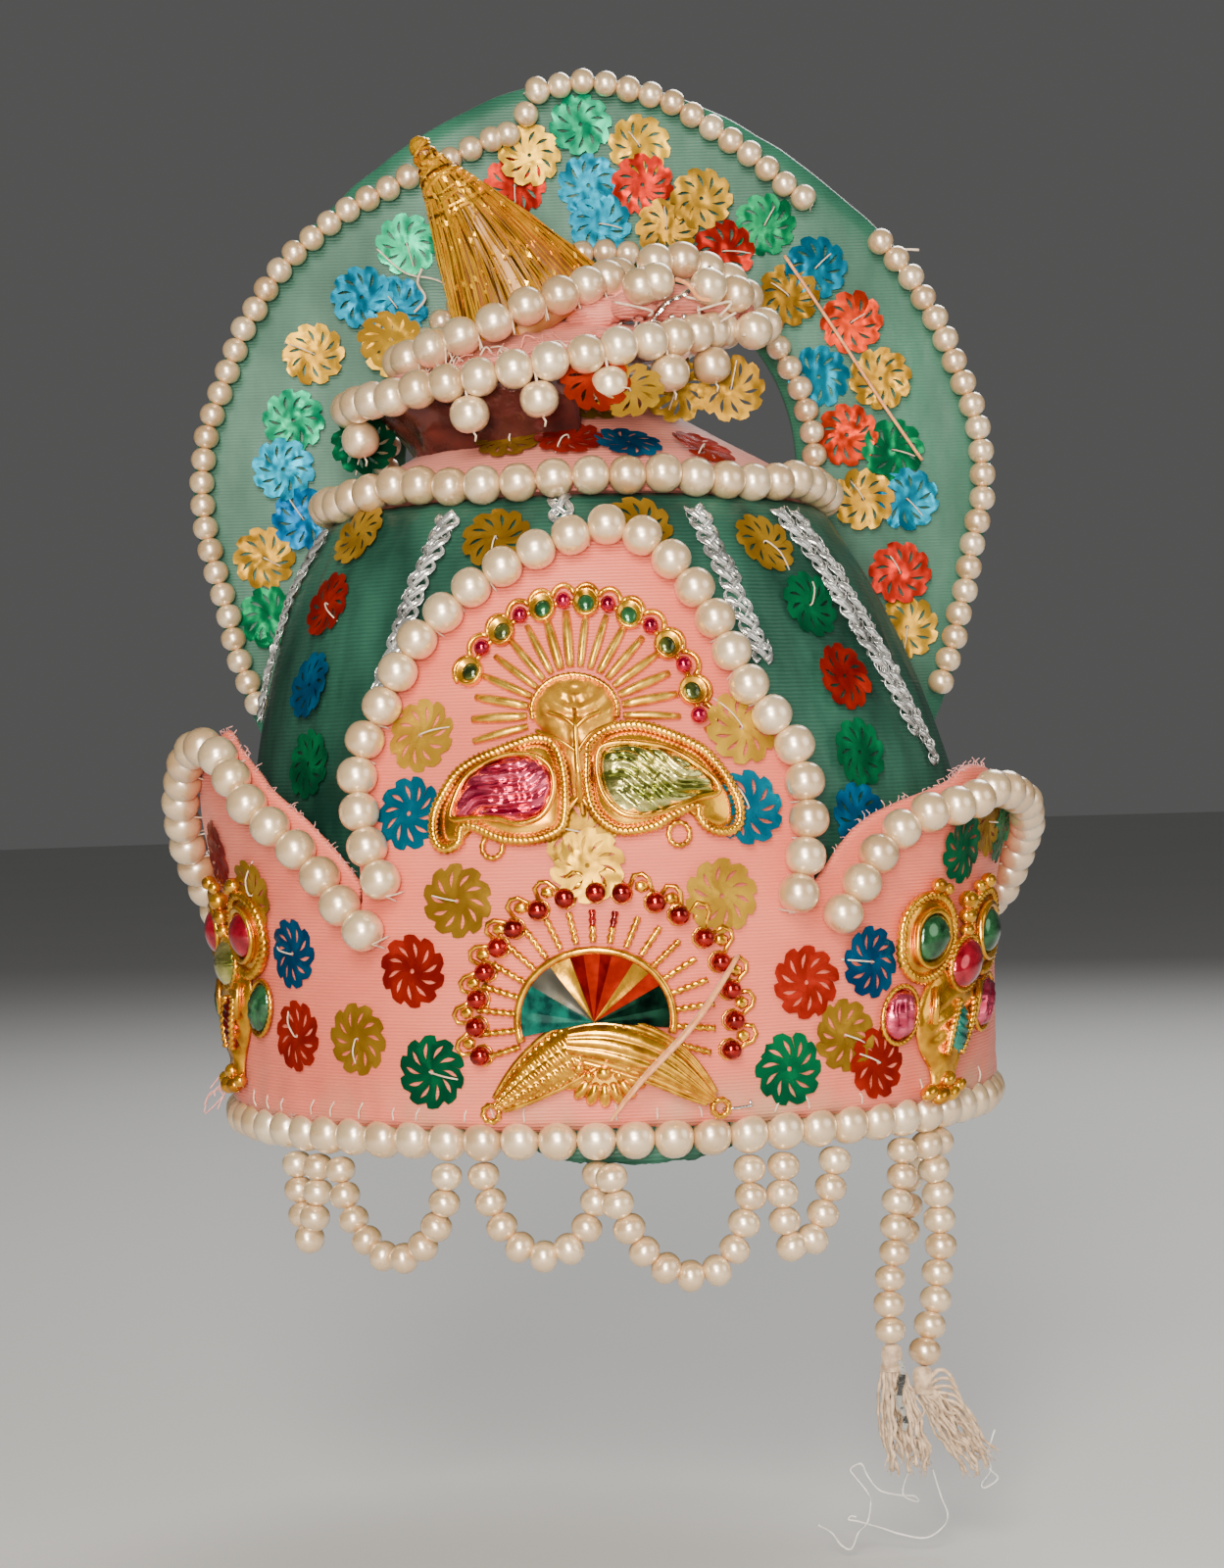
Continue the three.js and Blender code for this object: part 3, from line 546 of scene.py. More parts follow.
def foil_look(name, bright, deep):
    """Sequin foil in its dyed colours: the tone of each petal, which is partly painted glint, darkened in
    clouds that paint dark reflections, with shallow dents.
    """
    look = Look(name, Metallic=0.38, Specular_IOR_Level=0.0)
    # painted reflection: the cloud darkens the foil in blotches towards its deep tone, for the dark
    # reflections between its glints
    cloud = look.noise(140, 1)
    # each petal's tone, partly random and partly painted glint
    shade = look.mix(look.tone(), deep, bright)
    look.set("Base Color", look.mix(look.remap(cloud, 0.42, 0.62, 0.0, 0.7), shade, deep))
    look.set("Roughness", look.remap(look.noise(200, 2), 0.3, 0.7, 0.21, 0.39))
    look.bump(look.noise(230, 1), 0.6, 0.0012)
    return look.material


def thread_look(name, light, deep, roughness=0.75, sheen=0.3):
    look = Look(name, Roughness=roughness, Sheen_Weight=sheen)
    look.set("Base Color", look.mix(look.remap(look.noise(600, 3), 0.35, 0.65), deep, light))
    look.bump(look.noise(2500, 2), 0.4, 0.0002)
    return look.material


def gem_look(name, bright, deep, roughness=0.1, scale=300, stretch=(1, 1, 1), bump=0.0,
             metallic=0.55, coat=0.6, gloss=0.5):
    """A stone, bead or foil inlay: streaks of two colours under a thin clear coat. On the creased foil
    inlays the bright streaks are partly painted glint strokes.
    """
    look = Look(name, Metallic=metallic, Coat_Weight=coat, Coat_Roughness=0.03, Specular_IOR_Level=gloss)
    streak = look.noise(scale, 3, stretch)
    look.set("Base Color", look.mix(look.remap(streak, 0.38, 0.62), deep, bright))
    look.set("Roughness", look.remap(streak, 0.3, 0.7, roughness, roughness * 2))
    if bump:
        look.bump(streak, bump, 0.0006)
    return look.material


UPRIGHT = dict(stretch=(1, 1, 0.3))                            # streaks that run up and down
PAINT = dict(roughness=0.25, metallic=0.0, coat=0.0, gloss=0.0)
# On the foil inlays the streaks' bright colour is partly painted highlight: glint strokes along the
# creases.
INLAY = dict(roughness=0.13, scale=260, stretch=(0.35, 1, 1.6), bump=0.9)

PEARL = pearl_look()
PINK = satin_look("pink_ribbed_satin", (0.84, 0.200, 0.130), (0.66, 0.112, 0.070), sheen=0.08,
                  soiled=(0.42, 0.27, 0.16))
PINK_PALE = satin_look("pink_satin_pale", (0.80, 0.27, 0.20), (0.60, 0.15, 0.11), sheen=0.08)
# Dark green satin: its patchy colour, stretched into upright streaks, paints the silk's sheen highlights as
# lighter streaks.
GREEN = satin_look("dark_green_satin", (0.032, 0.118, 0.078), (0.004, 0.026, 0.017), spacing=0.0008,
                   roughness=(0.36, 0.5), rib=0.3, patchy=1.0, stretch=(2.4, 2.4, 0.9), sheen=0.0,
                   folds=0.6)
# Sea-green satin: its darker patchy colour paints the shade of its wrinkles.
HALO_GREEN = satin_look("sea_green_satin", (0.040, 0.168, 0.104), (0.012, 0.072, 0.043),
                        spacing=0.0007, roughness=(0.34, 0.5), rib=0.22, patchy=0.9,
                        stretch=(2.2, 1, 1), sheen=0.04)
GOLD = metal_look("stamped_gold", (1.0, 0.50, 0.026), (0.50, 0.19, 0.008), bump=0.35, metallic=0.88)
PRESSED_GOLD = metal_look("pressed_gold", (1.0, 0.50, 0.040), (0.50, 0.20, 0.012), 0.28, 260, 0.5,
                          0.0005, metallic=0.75)
# A paler, yellower copy of the stamped gold for the fan's rays: painted highlight, for the light that the
# rays catch.
LIT_RAY_GOLD = metal_look("gold_ray_painted_highlight", (1.0, 0.60, 0.07), (0.72, 0.34, 0.02), 0.26, 500,
                         metallic=0.84)
ROPE_GOLD = metal_look("twisted_gold_wire", (1.0, 0.50, 0.026), (0.56, 0.22, 0.008), 0.18, 500,
                       metallic=0.88)
TINSEL = metal_look("amber_tinsel", (1.0, 0.54, 0.020), (0.74, 0.33, 0.007), 0.22, 300, 0.3,
                    metallic=0.7, **UPRIGHT)
# Dark brown strands: painted shade, the dark lines in the grooves between the finial's strands and wraps.
GROOVE_SHADE_TINSEL = metal_look("groove_shade_tinsel", (0.42, 0.20, 0.014), (0.16, 0.065, 0.005), 0.3, 300, 0.3,
                         **UPRIGHT)
BRAID_FILM = metal_look("silver_film", (0.95, 0.95, 0.93), (0.50, 0.50, 0.49), 0.18, 170, 0.6,
                        0.0009, metallic=0.8)
SILVER = metal_look("crumpled_silver_foil", (0.90, 0.90, 0.87), (0.62, 0.61, 0.58), 0.16, 420, 0.7,
                    0.0006)
BEIGE_FOIL = metal_look("beige_tinsel_core", (0.70, 0.40, 0.20), (0.46, 0.22, 0.05), 0.42, 160, 0.4,
                        **UPRIGHT)
SILVER_GOLD = metal_look("silver_gold_foil", (0.80, 0.76, 0.62), (0.60, 0.50, 0.30), 0.16)
# Dark red film: the cap's lining, and also the sheet hung under the cap's left side, where it is painted
# shade for the gap over the cone.
DARK_FILM_AND_SHADE = metal_look("dark_red_film_and_shade", (0.14, 0.030, 0.022), (0.030, 0.010, 0.010), 0.14, 90, 0.5,
                  0.002, metallic=0.25)
THREAD = thread_look("cotton_thread", (0.82, 0.66, 0.48), (0.58, 0.40, 0.27))
TASSEL_THREAD = thread_look("tassel_thread", (0.70, 0.50, 0.32), (0.36, 0.24, 0.15), 0.45)
STRAW = thread_look("straw_thread", (0.86, 0.36, 0.12), (0.66, 0.22, 0.06), 0.4)
NYLON = thread_look("nylon_thread", (0.78, 0.77, 0.74), (0.66, 0.65, 0.62), 0.25, 0.0)
PINK_THREAD = thread_look("frayed_pink_thread", (0.80, 0.38, 0.34), (0.62, 0.24, 0.22))

# colour: the look's bright and deep tones, and its slot
SEQUIN_COLORS = {
    "blue": ((0.002, 0.120, 0.245), (0.001, 0.022, 0.070), "sequin_blue"),
    "cyan": ((0.001, 0.135, 0.205), (0.001, 0.062, 0.110), "sequin_blue"),
    "red": ((0.360, 0.018, 0.008), (0.120, 0.004, 0.003), "sequin_red"),
    "orange": ((0.370, 0.028, 0.005), (0.160, 0.008, 0.002), "sequin_red"),
    "green": ((0.004, 0.150, 0.052), (0.001, 0.040, 0.017), "sequin_green"),
    # emerald: its own colour, with the bright tone raised towards its glints, which is partly painted
    # highlight
    "emerald": ((0.003, 0.400, 0.200), (0.001, 0.100, 0.042), "sequin_green"),
    "gold": ((0.400, 0.220, 0.020), (0.150, 0.072, 0.006), "sequin_gold"),
    "yellow": ((0.680, 0.410, 0.036), (0.300, 0.150, 0.011), "sequin_gold"),
}
SEQUIN_LOOKS = {color: foil_look(f"sequin_{color}_foil", bright, deep)
                for color, (bright, deep, _) in SEQUIN_COLORS.items()}

# The paisleys' foil inlays: their bright streak colour is partly painted glint.
MAGENTA = gem_look("magenta_foil", (0.90, 0.12, 0.22), (0.42, 0.006, 0.045), metallic=0.85,
                   coat=0.35, **INLAY)
OLIVE = gem_look("green_gold_foil", (0.86, 0.76, 0.26), (0.20, 0.22, 0.03), metallic=0.9, coat=0.3,
                 **INLAY)
RUBY = gem_look("ruby_stone", (0.50, 0.008, 0.03), (0.22, 0.002, 0.010))
RED_BEAD = gem_look("red_bead", (0.42, 0.008, 0.005), (0.18, 0.003, 0.002), metallic=0.8, coat=0.35)
PINK_BEAD = gem_look("pink_bead", (0.60, 0.008, 0.06), (0.30, 0.003, 0.025), metallic=0.8, coat=0.35)
EMERALD_STONE = gem_look("green_stone", (0.030, 0.140, 0.050), (0.006, 0.040, 0.014))
MOSS_STONE = gem_look("moss_stone", (0.090, 0.110, 0.022), (0.018, 0.032, 0.008), scale=420)
TEAL_STONE = gem_look("teal_foil", (0.012, 0.24, 0.17), (0.003, 0.06, 0.05))
DARK_GREEN_STONE = gem_look("dark_green_foil", (0.010, 0.075, 0.040), (0.002, 0.015, 0.010),
                            metallic=0.9, coat=0.1)
DARK_RED_STONE = gem_look("dark_red_foil", (0.13, 0.003, 0.002), (0.06, 0.001, 0.001), **PAINT)
BRIGHT_RED_STONE = gem_look("bright_red_foil", (0.27, 0.012, 0.003), (0.17, 0.005, 0.001), **PAINT)
PEACH_BEAD = gem_look("peach_bead", (0.88, 0.58, 0.46), (0.80, 0.44, 0.36), 0.3, metallic=0.0)


# ---- camera, floor and light ----
CAMERA_PLACE = (0.0014, -0.65, 0.070)
CAMERA_PITCH, CAMERA_ROLL = -0.19, -1.8
LENS, SENSOR = 68.2, 36
FLOOR_RADIUS, FLOOR_SIDES = 8.0, 96
LOWEST_THREAD, FLOOR_ROOM = -0.088, 0.003


def camera():
    """A long lens 650 mm in front of the crown's axis, at the height of the band's petals."""
    lens = bpy.data.cameras.new("camera")
    lens.sensor_width = SENSOR
    lens.lens = LENS
    lens.clip_start = 0.05
    lens.clip_end = 50
    eye = bpy.data.objects.new("camera", lens)
    eye.matrix_world = (Matrix.Translation(CAMERA_PLACE)
                        @ Matrix.Rotation(math.radians(90 + CAMERA_PITCH), 4, "X")
                        @ Matrix.Rotation(math.radians(CAMERA_ROLL), 4, "Z"))
    bpy.context.scene.collection.objects.link(eye)
    bpy.context.scene.camera = eye


def area_light(name, place, target, size, power, color=(1, 1, 1)):
    lamp = bpy.data.lights.new(name, "AREA")
    lamp.shape = "DISK"
    lamp.size = size
    lamp.energy = power
    lamp.color = color
    holder = bpy.data.objects.new(name, lamp)
    holder.location = place
    holder.rotation_mode = "QUATERNION"
    holder.rotation_quaternion = (Vector(target) - Vector(place)).to_track_quat("-Z", "Y")
    bpy.context.scene.collection.objects.link(holder)


def studio():
    world = bpy.data.worlds.new("studio")
    world.use_nodes = True
    background = world.node_tree.nodes["Background"]
    background.inputs["Color"].default_value = (0.93, 0.93, 0.92, 1)
    background.inputs["Strength"].default_value = 0.10
    bpy.context.scene.world = world
    middle = (0, 0, 0.09)
    area_light("key", (-0.12, -0.92, 0.50), middle, 0.38, 9.5, (1.0, 0.93, 0.82))
    area_light("flash", (-0.05, -0.84, 0.12), middle, 0.2, 7.6, (1.0, 0.93, 0.83))
    area_light("fill", (0.9, -0.5, 0.35), middle, 0.7, 3.0, (1.0, 0.96, 0.90))
    area_light("back", (0.3, 0.9, 0.9), middle, 0.7, 10)
    mesh = bpy.data.meshes.new("studio_floor")
    rim = [(FLOOR_RADIUS * math.cos(a), FLOOR_RADIUS * math.sin(a), 0) for a in turns(FLOOR_SIDES)]
    mesh.from_pydata(rim, [], [tuple(range(FLOOR_SIDES))])
    floor = bpy.data.objects.new("studio_floor", mesh)
    floor.location.z = min(CAD_BOX[0].z, LOWEST_THREAD) - FLOOR_ROOM
    look = Look("pale_floor", Roughness=0.7)
    look.set("Base Color", look.mix(look.noise(3, 2), (0.64, 0.64, 0.63), (0.68, 0.68, 0.67)))
    mesh.materials.append(look.material)
    bpy.context.scene.collection.objects.link(floor)


camera()
studio()


# ---- pearls ----
PEARL_SIDES, PEARL_ROWS = 20, 11
PEARL_TOUCH = 1.02         # how far a pearl reaches into its neighbours, as a share of its length
# kind of pearl: diameter, pitch as a share of it, and how much wider than long a pearl is
PEARL_KINDS = {"large": (LARGE_PEARL, LARGE_PITCH, 1.06), "small": (SMALL_PEARL, SMALL_PITCH, 1.09),
               "hanging": (SMALL_PEARL, 0.84, 1.17), "strand": (SMALL_PEARL, 0.80, 1.20)}


def pearl_points(kind):
    """One pearl with its thread along Z: rows of rings, closed at its two ends."""
    diameter, pitch, width = PEARL_KINDS[kind]
    half = pitch * diameter / 2 * PEARL_TOUCH
    radius = half * width
    rings = []
    for i in range(1, PEARL_ROWS):
        turn = math.pi * i / PEARL_ROWS
        across = radius * math.sin(turn) ** 0.88
        along = -half * math.copysign(abs(math.cos(turn)) ** 0.93, math.cos(turn))
        for a in turns(PEARL_SIDES):
            rings.append(Vector((across * math.cos(a), across * math.sin(a), along)))
    faces = grid_faces(PEARL_ROWS - 1, PEARL_SIDES, wrap_columns=True)
    close_ends(rings, faces, PEARL_SIDES, Vector((0, 0, -half)), Vector((0, 0, half)))
    return rings, faces


PEARLS = {kind: pearl_points(kind) for kind in PEARL_KINDS}


def add_pearl(part, point, along, kind, fit=1.0):
    """A pearl at a point of its thread: spun, and a little uneven in size and tone, by the seed."""
    points, faces = PEARLS[kind]
    turn = along.to_track_quat("Z", "Y").to_matrix()
    spin = Matrix.Rotation(rng.uniform(0, 6.28), 3, "Z")
    size = rng.uniform(0.985, 1.02) * fit
    place = turn @ spin * size
    part.add([point + place @ p for p in points], faces, min(1, max(0, rng.gauss(0.5, 0.24))))


def string_pearls(name, points, kind, closed=False, normal=None, replaces=(), jitter=0.25,
                  stitched=0.55):
    """Pearls threaded along a route, their thread, and the stitches that hold the thread down.
    normal gives the way off the surface at a point; without it the string hangs free."""
    diameter, pitch, _ = PEARL_KINDS[kind]
    route = Route(points, closed)
    count = round(route.length / (diameter * pitch))
    step = route.length / count
    fit = step / (diameter * pitch)
    pearls, threads = Part(), Part()
    for i in range(count):
        point, along = route.at((i + 0.5) * step)
        shake = Vector([rng.uniform(-jitter, jitter) for _ in range(3)])
        add_pearl(pearls, point + shake - along * shake.dot(along), along, kind, fit)
    core = [route.at(route.length * i / (count * 2))[0] for i in range(count * 2 + (0 if closed else 1))]
    tube(threads, core, 0.38, 6, closed)
    if normal:
        for i in range(count + (0 if closed else 1)):
            if rng.random() < stitched:
                point, along = route.at(i * step)
                stitch_over(threads, point, along, normal(point), diameter)
    pearls.build(name, [PEARL], "pearl", replaces)
    threads.build(name + "_thread", [THREAD], "cream_thread")


def stitch_over(part, point, along, out, diameter):
    """A stitch from one side of a string over its thread to the other side."""
    side = along.cross(out).normalized()
    foot = diameter / 2 + GAP - 0.1
    spread = rng.uniform(0.10, 0.20) * diameter
    slant = along * rng.uniform(-0.6, 0.6)
    path = [point - out * foot - side * spread + slant, point - out * foot * 0.3 - side * spread * 0.5,
            point + out * 0.55, point - out * foot * 0.3 + side * spread * 0.5,
            point - out * foot + side * spread - slant]
    tube(part, spline(path, 3), 0.19, 5)


RING_STEPS = 120


def ring_points(radius, z):
    return [around(i / RING_STEPS * 360, radius, z) for i in range(RING_STEPS)]


# The strings along the band's edge, as rows of (azimuth, height).
EDGE_STRINGS = {
    "front": [(-29.2, 47.5), (-34.0, 60.5), (-36.2, 72.5), (-32.5, 84.6), (-27.2, 98.2), (-17.3, 108.3),
              (-4.6, 115.2), (2.0, 117.0), (8.9, 113.6), (16.5, 101.4), (20.5, 86.5), (26.6, 73.4),
              (27.0, 58.0), (24.0, 42.5)],
    "right": [(29.8, 38.8), (37.6, 52.0), (44.6, 60.0), (52.0, 62.6), (60.0, 65.2), (70.0, 63.0),
              (81.0, 57.5), (91.0, 49.0), (99.0, 40.5)],
    "back": [(99.4, 40), (143, 40), (180, 40), (217, 40), (260.6, 40)],
    "left": [(-31.5, 38.6), (-37.7, 47.0), (-44.8, 58.0), (-51.7, 67.8), (-58.0, 76.0), (-64.5, 78.0),
             (-72.0, 74.5), (-82.0, 63.5), (-91.0, 52.0), (-99.0, 40.5)],
}


def radial(point):
    return Vector((point.x, point.y, 0)).normalized()


def band_pearls():
    """The strings round the rim and along the band's edge, and the dome's, a little wavy in front."""
    string_pearls("rim_pearls", ring_points(RIM_RADIUS, 0), "large", True, radial, ["pearls_rim"],
                  0.12, 0.7)
    out = lambda p: band_normal(math.degrees(math.atan2(p.x, -p.y)), p.z)
    for side, rows in EDGE_STRINGS.items():
        points = [off_band(a, z, LARGE_PEARL / 2 + GAP) for a, z in spline(rows, 8)]
        string_pearls(f"{side}_edge_pearls", points, "large", False, out, [f"pearls_{side}_edge"])
    tier = [leaned(p + Vector((0, 0, 0.7 * math.sin(i * 0.37) * (p.y < 0)))) for i, p in
            enumerate(ring_points(TIER_RADIUS, TIER_Z))]
    string_pearls("tier_pearls", tier, "large", True, radial, ["pearls_tier"], 0.35)


# The halo's edge, as rows of (degrees from its top, radius), the same on both sides.
HALO_OUTLINE = [(0, 89.5), (10, 87.6), (25, 84.8), (42, 83.3), (57, 85.0), (73, 86.2), (90, 88.8),
                (105, 88.0), (116, 90.2), (125, 93.0), (HALO_FOOT_ANGLE, 95.5)]
HALO_RADII = spline(HALO_OUTLINE, 12)
# string: name, where it starts and ends, how far it moves inwards, and between which angles
HALO_STRINGS = [("halo_left", -124, -13, 7.0, -52, -16), ("halo_top", -8, 41, 4.2, 8, 38),
                ("halo_right", 51, 124, 0, 60, 90)]


def halo_radius(angle):
    turn = abs(angle)
    for a, b in zip(HALO_RADII, HALO_RADII[1:]):
        if a.x <= turn <= b.x:
            return lerp(a.y, b.y, (turn - a.x) / (b.x - a.x))
    return HALO_RADII[-1].y


def halo_point(angle, radius, y, centre=HALO_CENTRE):
    a = math.radians(angle)
    return Vector((centre[0] + radius * math.sin(a), y, centre[1] + radius * math.cos(a)))


def halo_pearls():
    """The strings on the halo's front and three pearls that stand off its top."""
    y = HALO_Y - HALO_THICK / 2 - SMALL_PEARL / 2 - GAP
    forward = lambda p: Vector((0, -1, 0))
    for name, low, high, inset, start, stop in HALO_STRINGS:
        steps = max(8, round((high - low) / 3))
        points = []
        for i in range(steps + 1):
            angle = lerp(low, high, i / steps)
            radius = halo_radius(angle) - inset * smoothstep(angle, start, stop)
            points.append(halo_point(angle, radius, y))
        string_pearls(f"{name}_pearls", points, "small", False, forward, [f"pearls_{name}"])
    kink = Part()
    for x, z in ((-17.6, 216.0), (-13.4, 220.4), (-10.6, 225.4)):
        add_pearl(kink, Vector((x, y, z)), Vector((0.55, 0.1, 0.83)), "small")
    kink.build("halo_kink_pearls", [PEARL], "pearl")
    points = [halo_point(lerp(-98, 98, i / 64), HALO_HOLE_PEARLS, y, HALO_HOLE) for i in range(65)]
    string_pearls("halo_hole_pearls", points, "small", False, forward, ["pearls_halo_hole"])


# ---- cap pearls ----
def leaning_axis(degrees):
    a = math.radians(degrees)
    return Vector((-math.sin(a), 0, math.cos(a)))


FINIAL_AXIS = leaning_axis(FINIAL_LEAN)
HANGING_PEARLS = [-7, -2, 0, 2, 4, 6]      # the rim's pearls that single beads hang from


def off_finial(point):
    """How far a point in the cap's frame is off the finial's face."""
    start = point - FINIAL_FOOT
    along = start.dot(FINIAL_AXIS)
    across = (start - FINIAL_AXIS * along).length
    face = min(FINIAL_RADIUS * (1 - along / FINIAL_HEIGHT), FINIAL_RADIUS + 1.13)
    return (across - face) * math.cos(math.atan(FINIAL_RADIUS / FINIAL_HEIGHT))


def finial_ring():
    """Places of the pearls' thread round the finial's foot, in the cap's frame: as near to the
    finial's axis as a pearl can be off its face, and slumped to one side."""
    rise = (LARGE_PEARL / 2 + 2 * GAP) * math.hypot(1, CAP_SLOPE)
    points = []
    for turn in turns(40):
        low, high = 5.0, 40.0
        for _ in range(24):
            middle = (low + high) / 2
            point = Vector((FINIAL_FOOT.x + math.cos(turn) * middle, math.sin(turn) * middle, 0))
            lift = CAP_TOP_LIFT / 2 * (1 + math.cos(turn))
            point.z = CAP_HEIGHT + CAP_BULGE - point.xy.length * CAP_SLOPE + rise + lift
            if off_finial(point) < LARGE_PEARL / 2 + GAP:
                low = middle
            else:
                high = middle
        slump = 8.5 * math.exp(-((math.degrees(turn) - 212) / 58) ** 2)
        points.append(point + Vector((math.cos(turn), math.sin(turn), -CAP_SLOPE - 0.12)) * slump)
    return points


def cap_pearls():
    """The strings round the cap and the finial, and the single beads that hang from the first."""
    radius = CAP_RADIUS + LARGE_PEARL / 2 + GAP
    turn = CAP_FRAME.to_3x3()
    out = lambda p: turn @ radial(CAP_FRAME.inverted() @ p)
    rim = [CAP_FRAME @ p for p in ring_points(radius, CAP_RIM_Z)]
    string_pearls("cap_rim_pearls", rim, "large", True, out, ["pearls_cap_rim"])
    string_pearls("finial_ring_pearls", [CAP_FRAME @ p for p in finial_ring()], "large", True,
                  lambda p: turn @ Vector((0, 0, 1)), ["pearls_cap_top"])
    down = turn @ Vector((0, 0, -1))
    for number, waist in enumerate(HANGING_PEARLS, 1):
        azimuth = waist * 360 / CAP_PEARLS
        place = CAP_FRAME @ around(azimuth, radius, CAP_RIM_Z - HANGING_DROP)
        pearls, threads = Part(), Part()
        add_pearl(pearls, place, down, "large")
        under = place + down * 3.6
        tube(threads, [place - down * 7.0, place - down * 5.2 + Vector((0.3, -0.2, 0)), under], 0.3, 5)
        tube(threads, [under, place + down * 4.6 + Vector((0.4, -0.5, 0)), place + down * 5.6], 0.22, 5)
        pearls.build(f"hanging_pearl_bead_{number}", [PEARL], "pearl", [f"hanging_pearl_{number}"])
        threads.build(f"hanging_pearl_thread_{number}", [THREAD], "cream_thread")


# The tangle at the cap's right end, in the crown's own axes.
CLUSTER_RUNS = [
    [(11, -25, 176.5), (18, -22, 178.4), (25, -17, 176.6), (31, -12, 174), (35, -6, 170.5)],
    [(9, -33, 170.6), (15.5, -33, 172.4)],
    [(21, -30, 171.6), (28, -25, 171.2), (33, -17, 170.2)],
    [(32, -24, 161.6), (36.5, -17, 164.2), (37, -9, 165.6)]]
CLUSTER_PITCH, CLUSTER_THREADS = 7.3, 5
# lump of cloth: its centre, its half sizes, and its turn in radians
CLUSTER_LUMPS = [
    ((16, -22, 168.5), (7.5, 5, 4.2), 0.4), ((25.5, -17, 169.5), (6, 5, 4.6), 1.3),
    ((9.5, -27, 168), (5, 3.5, 3), 2.2), ((1.5, -22, 167.5), (7, 4.5, 3.8), 0.9),
    ((8, -20, 170), (6, 4, 4.2), 1.9), ((30, -11, 169), (5, 5, 3.5), 0.2)]
CLUSTER_STRIP = [(12.5, -31.5, 164), (16, -31, 168), (20, -29.5, 170), (25.5, -28, 175.4)]
CLUSTER_STRAW = [(18, -31.5, 172.5), (20.5, -33.5, 171), (22.5, -32, 168.5), (25, -31, 168)]


def cap_cluster():
    """The gathered right end of the cap: doubled-back pearls over lumps of satin, foil and thread."""
    pearls, threads, satin, foil, straw, peach = (Part() for _ in range(6))
    for run in CLUSTER_RUNS:
        route = Route(spline(run, 6))
        count = max(2, round(route.length / CLUSTER_PITCH))
        for k in range(count):
            point, along = route.at(route.length * (k + 0.5) / count)
            add_pearl(pearls, point, along, "large")
        tube(threads, [route.at(route.length * k / 12)[0] for k in range(13)], 0.35, 5)
    for centre, size, turn in CLUSTER_LUMPS:
        lump(satin, Vector(centre), Vector(size), turn)
    for _ in range(CLUSTER_THREADS):
        a = Vector((rng.uniform(10, 30), rng.uniform(-33, -26), rng.uniform(163, 173)))
        b = a + Vector((rng.uniform(-4, 4), -1.5, rng.uniform(-2, 3)))
        c = a + Vector((rng.uniform(-7, 7), -1, rng.uniform(-4, 3)))
        tube(threads, spline([a, b, c], 5), 0.28, 5)
    tube(foil, spline(CLUSTER_STRIP, 6), lambda t: 0.9 + 0.25 * math.sin(t * 40), 5, flat=0.35)
    for k in range(5):
        place = lambda x, y, h: Vector((15.6 + 1.3 * k + x, -31.8 + h, 163.6 + 1.1 * (k % 2) + y))
        ball(foil, place, 0, 0, 0, 0.75)
    tube(straw, spline(CLUSTER_STRAW, 6), 0.5, 5)
    revolve(peach, bead(3.3), lambda x, y, h: Vector((17.6 + x, -31.5 + y, 155.2 + h)), 18)
    pearls.build("cap_cluster_pearls", [PEARL], "pearl")
    threads.build("cap_cluster_threads", [THREAD], "cream_thread")
    satin.build("cap_cluster_satin", [PINK_PALE], "pink_satin")
    foil.build("cap_cluster_foil", [SILVER], "silver_foil", smooth=False)
    straw.build("cap_cluster_straw", [STRAW], "cream_thread")
    peach.build("cap_peach_bead", [PEACH_BEAD], "pearl")


CAP_FRAYS = 70
# scrap of satin on the cap's front: azimuth, distance from the cap's axis, and size
CAP_SCRAPS = [(-52, 31, 3.4), (-30, 33.5, 3.0), (-8, 34, 3.6), (14, 33, 3.2), (34, 31, 3.8),
              (52, 33, 3.2)]


def on_cap(azimuth, r, height):
    """A point off the cap's sloping top, by its distance from the cap's own axis."""
    return CAP_FRAME @ around(azimuth, r, CAP_HEIGHT + CAP_BULGE - r * CAP_SLOPE + height)


def cap_frays():
    """Frayed threads, satin scraps and foil bits over the cap's front, between its two rings."""
    threads, satin, foil = Part(), Part(), Part()
    for _ in range(CAP_FRAYS):
        azimuth, r = rng.uniform(-75, 70), rng.uniform(26, 37)
        turn, size = rng.uniform(0, 6.28), rng.uniform(1.6, 5.0)
        line = [on_cap(azimuth, r, 0.2)]
        for reach, bend, lift in ((size, turn, (0.8, 2.4)), (2 * size, turn + 0.5, (0.2, 2.2))):
            across, out = reach * math.cos(bend), reach / 2 * math.sin(bend)
            line.append(on_cap(azimuth + across, r + out, rng.uniform(*lift)))
        tube(threads if rng.random() < 0.5 else satin, spline(line, 4), rng.uniform(0.12, 0.26), 4)
    for azimuth, r, size in CAP_SCRAPS:
        lump(satin, on_cap(azimuth, r, 0.4), Vector((size * 1.5, size, size * 0.42)), rng.uniform(0, 6))
    for azimuth in (-20, 24, 44):
        line = [on_cap(azimuth + 1.6 * k, 33 + 1.4 * math.sin(k * 1.7), 1.2 + 0.5 * math.cos(k * 2.3))
                for k in range(6)]
        tube(foil, line, lambda t: 0.6 + 0.25 * math.sin(t * 30), 5, flat=0.4)
    threads.build("cap_fray_threads", [THREAD], "cream_thread")
    satin.build("cap_fray_satin", [PINK_PALE], "pink_satin")
    foil.build("cap_fray_foil", [SILVER], "silver_foil", smooth=False)


LUMP_ROWS, LUMP_SIDES = 10, 18


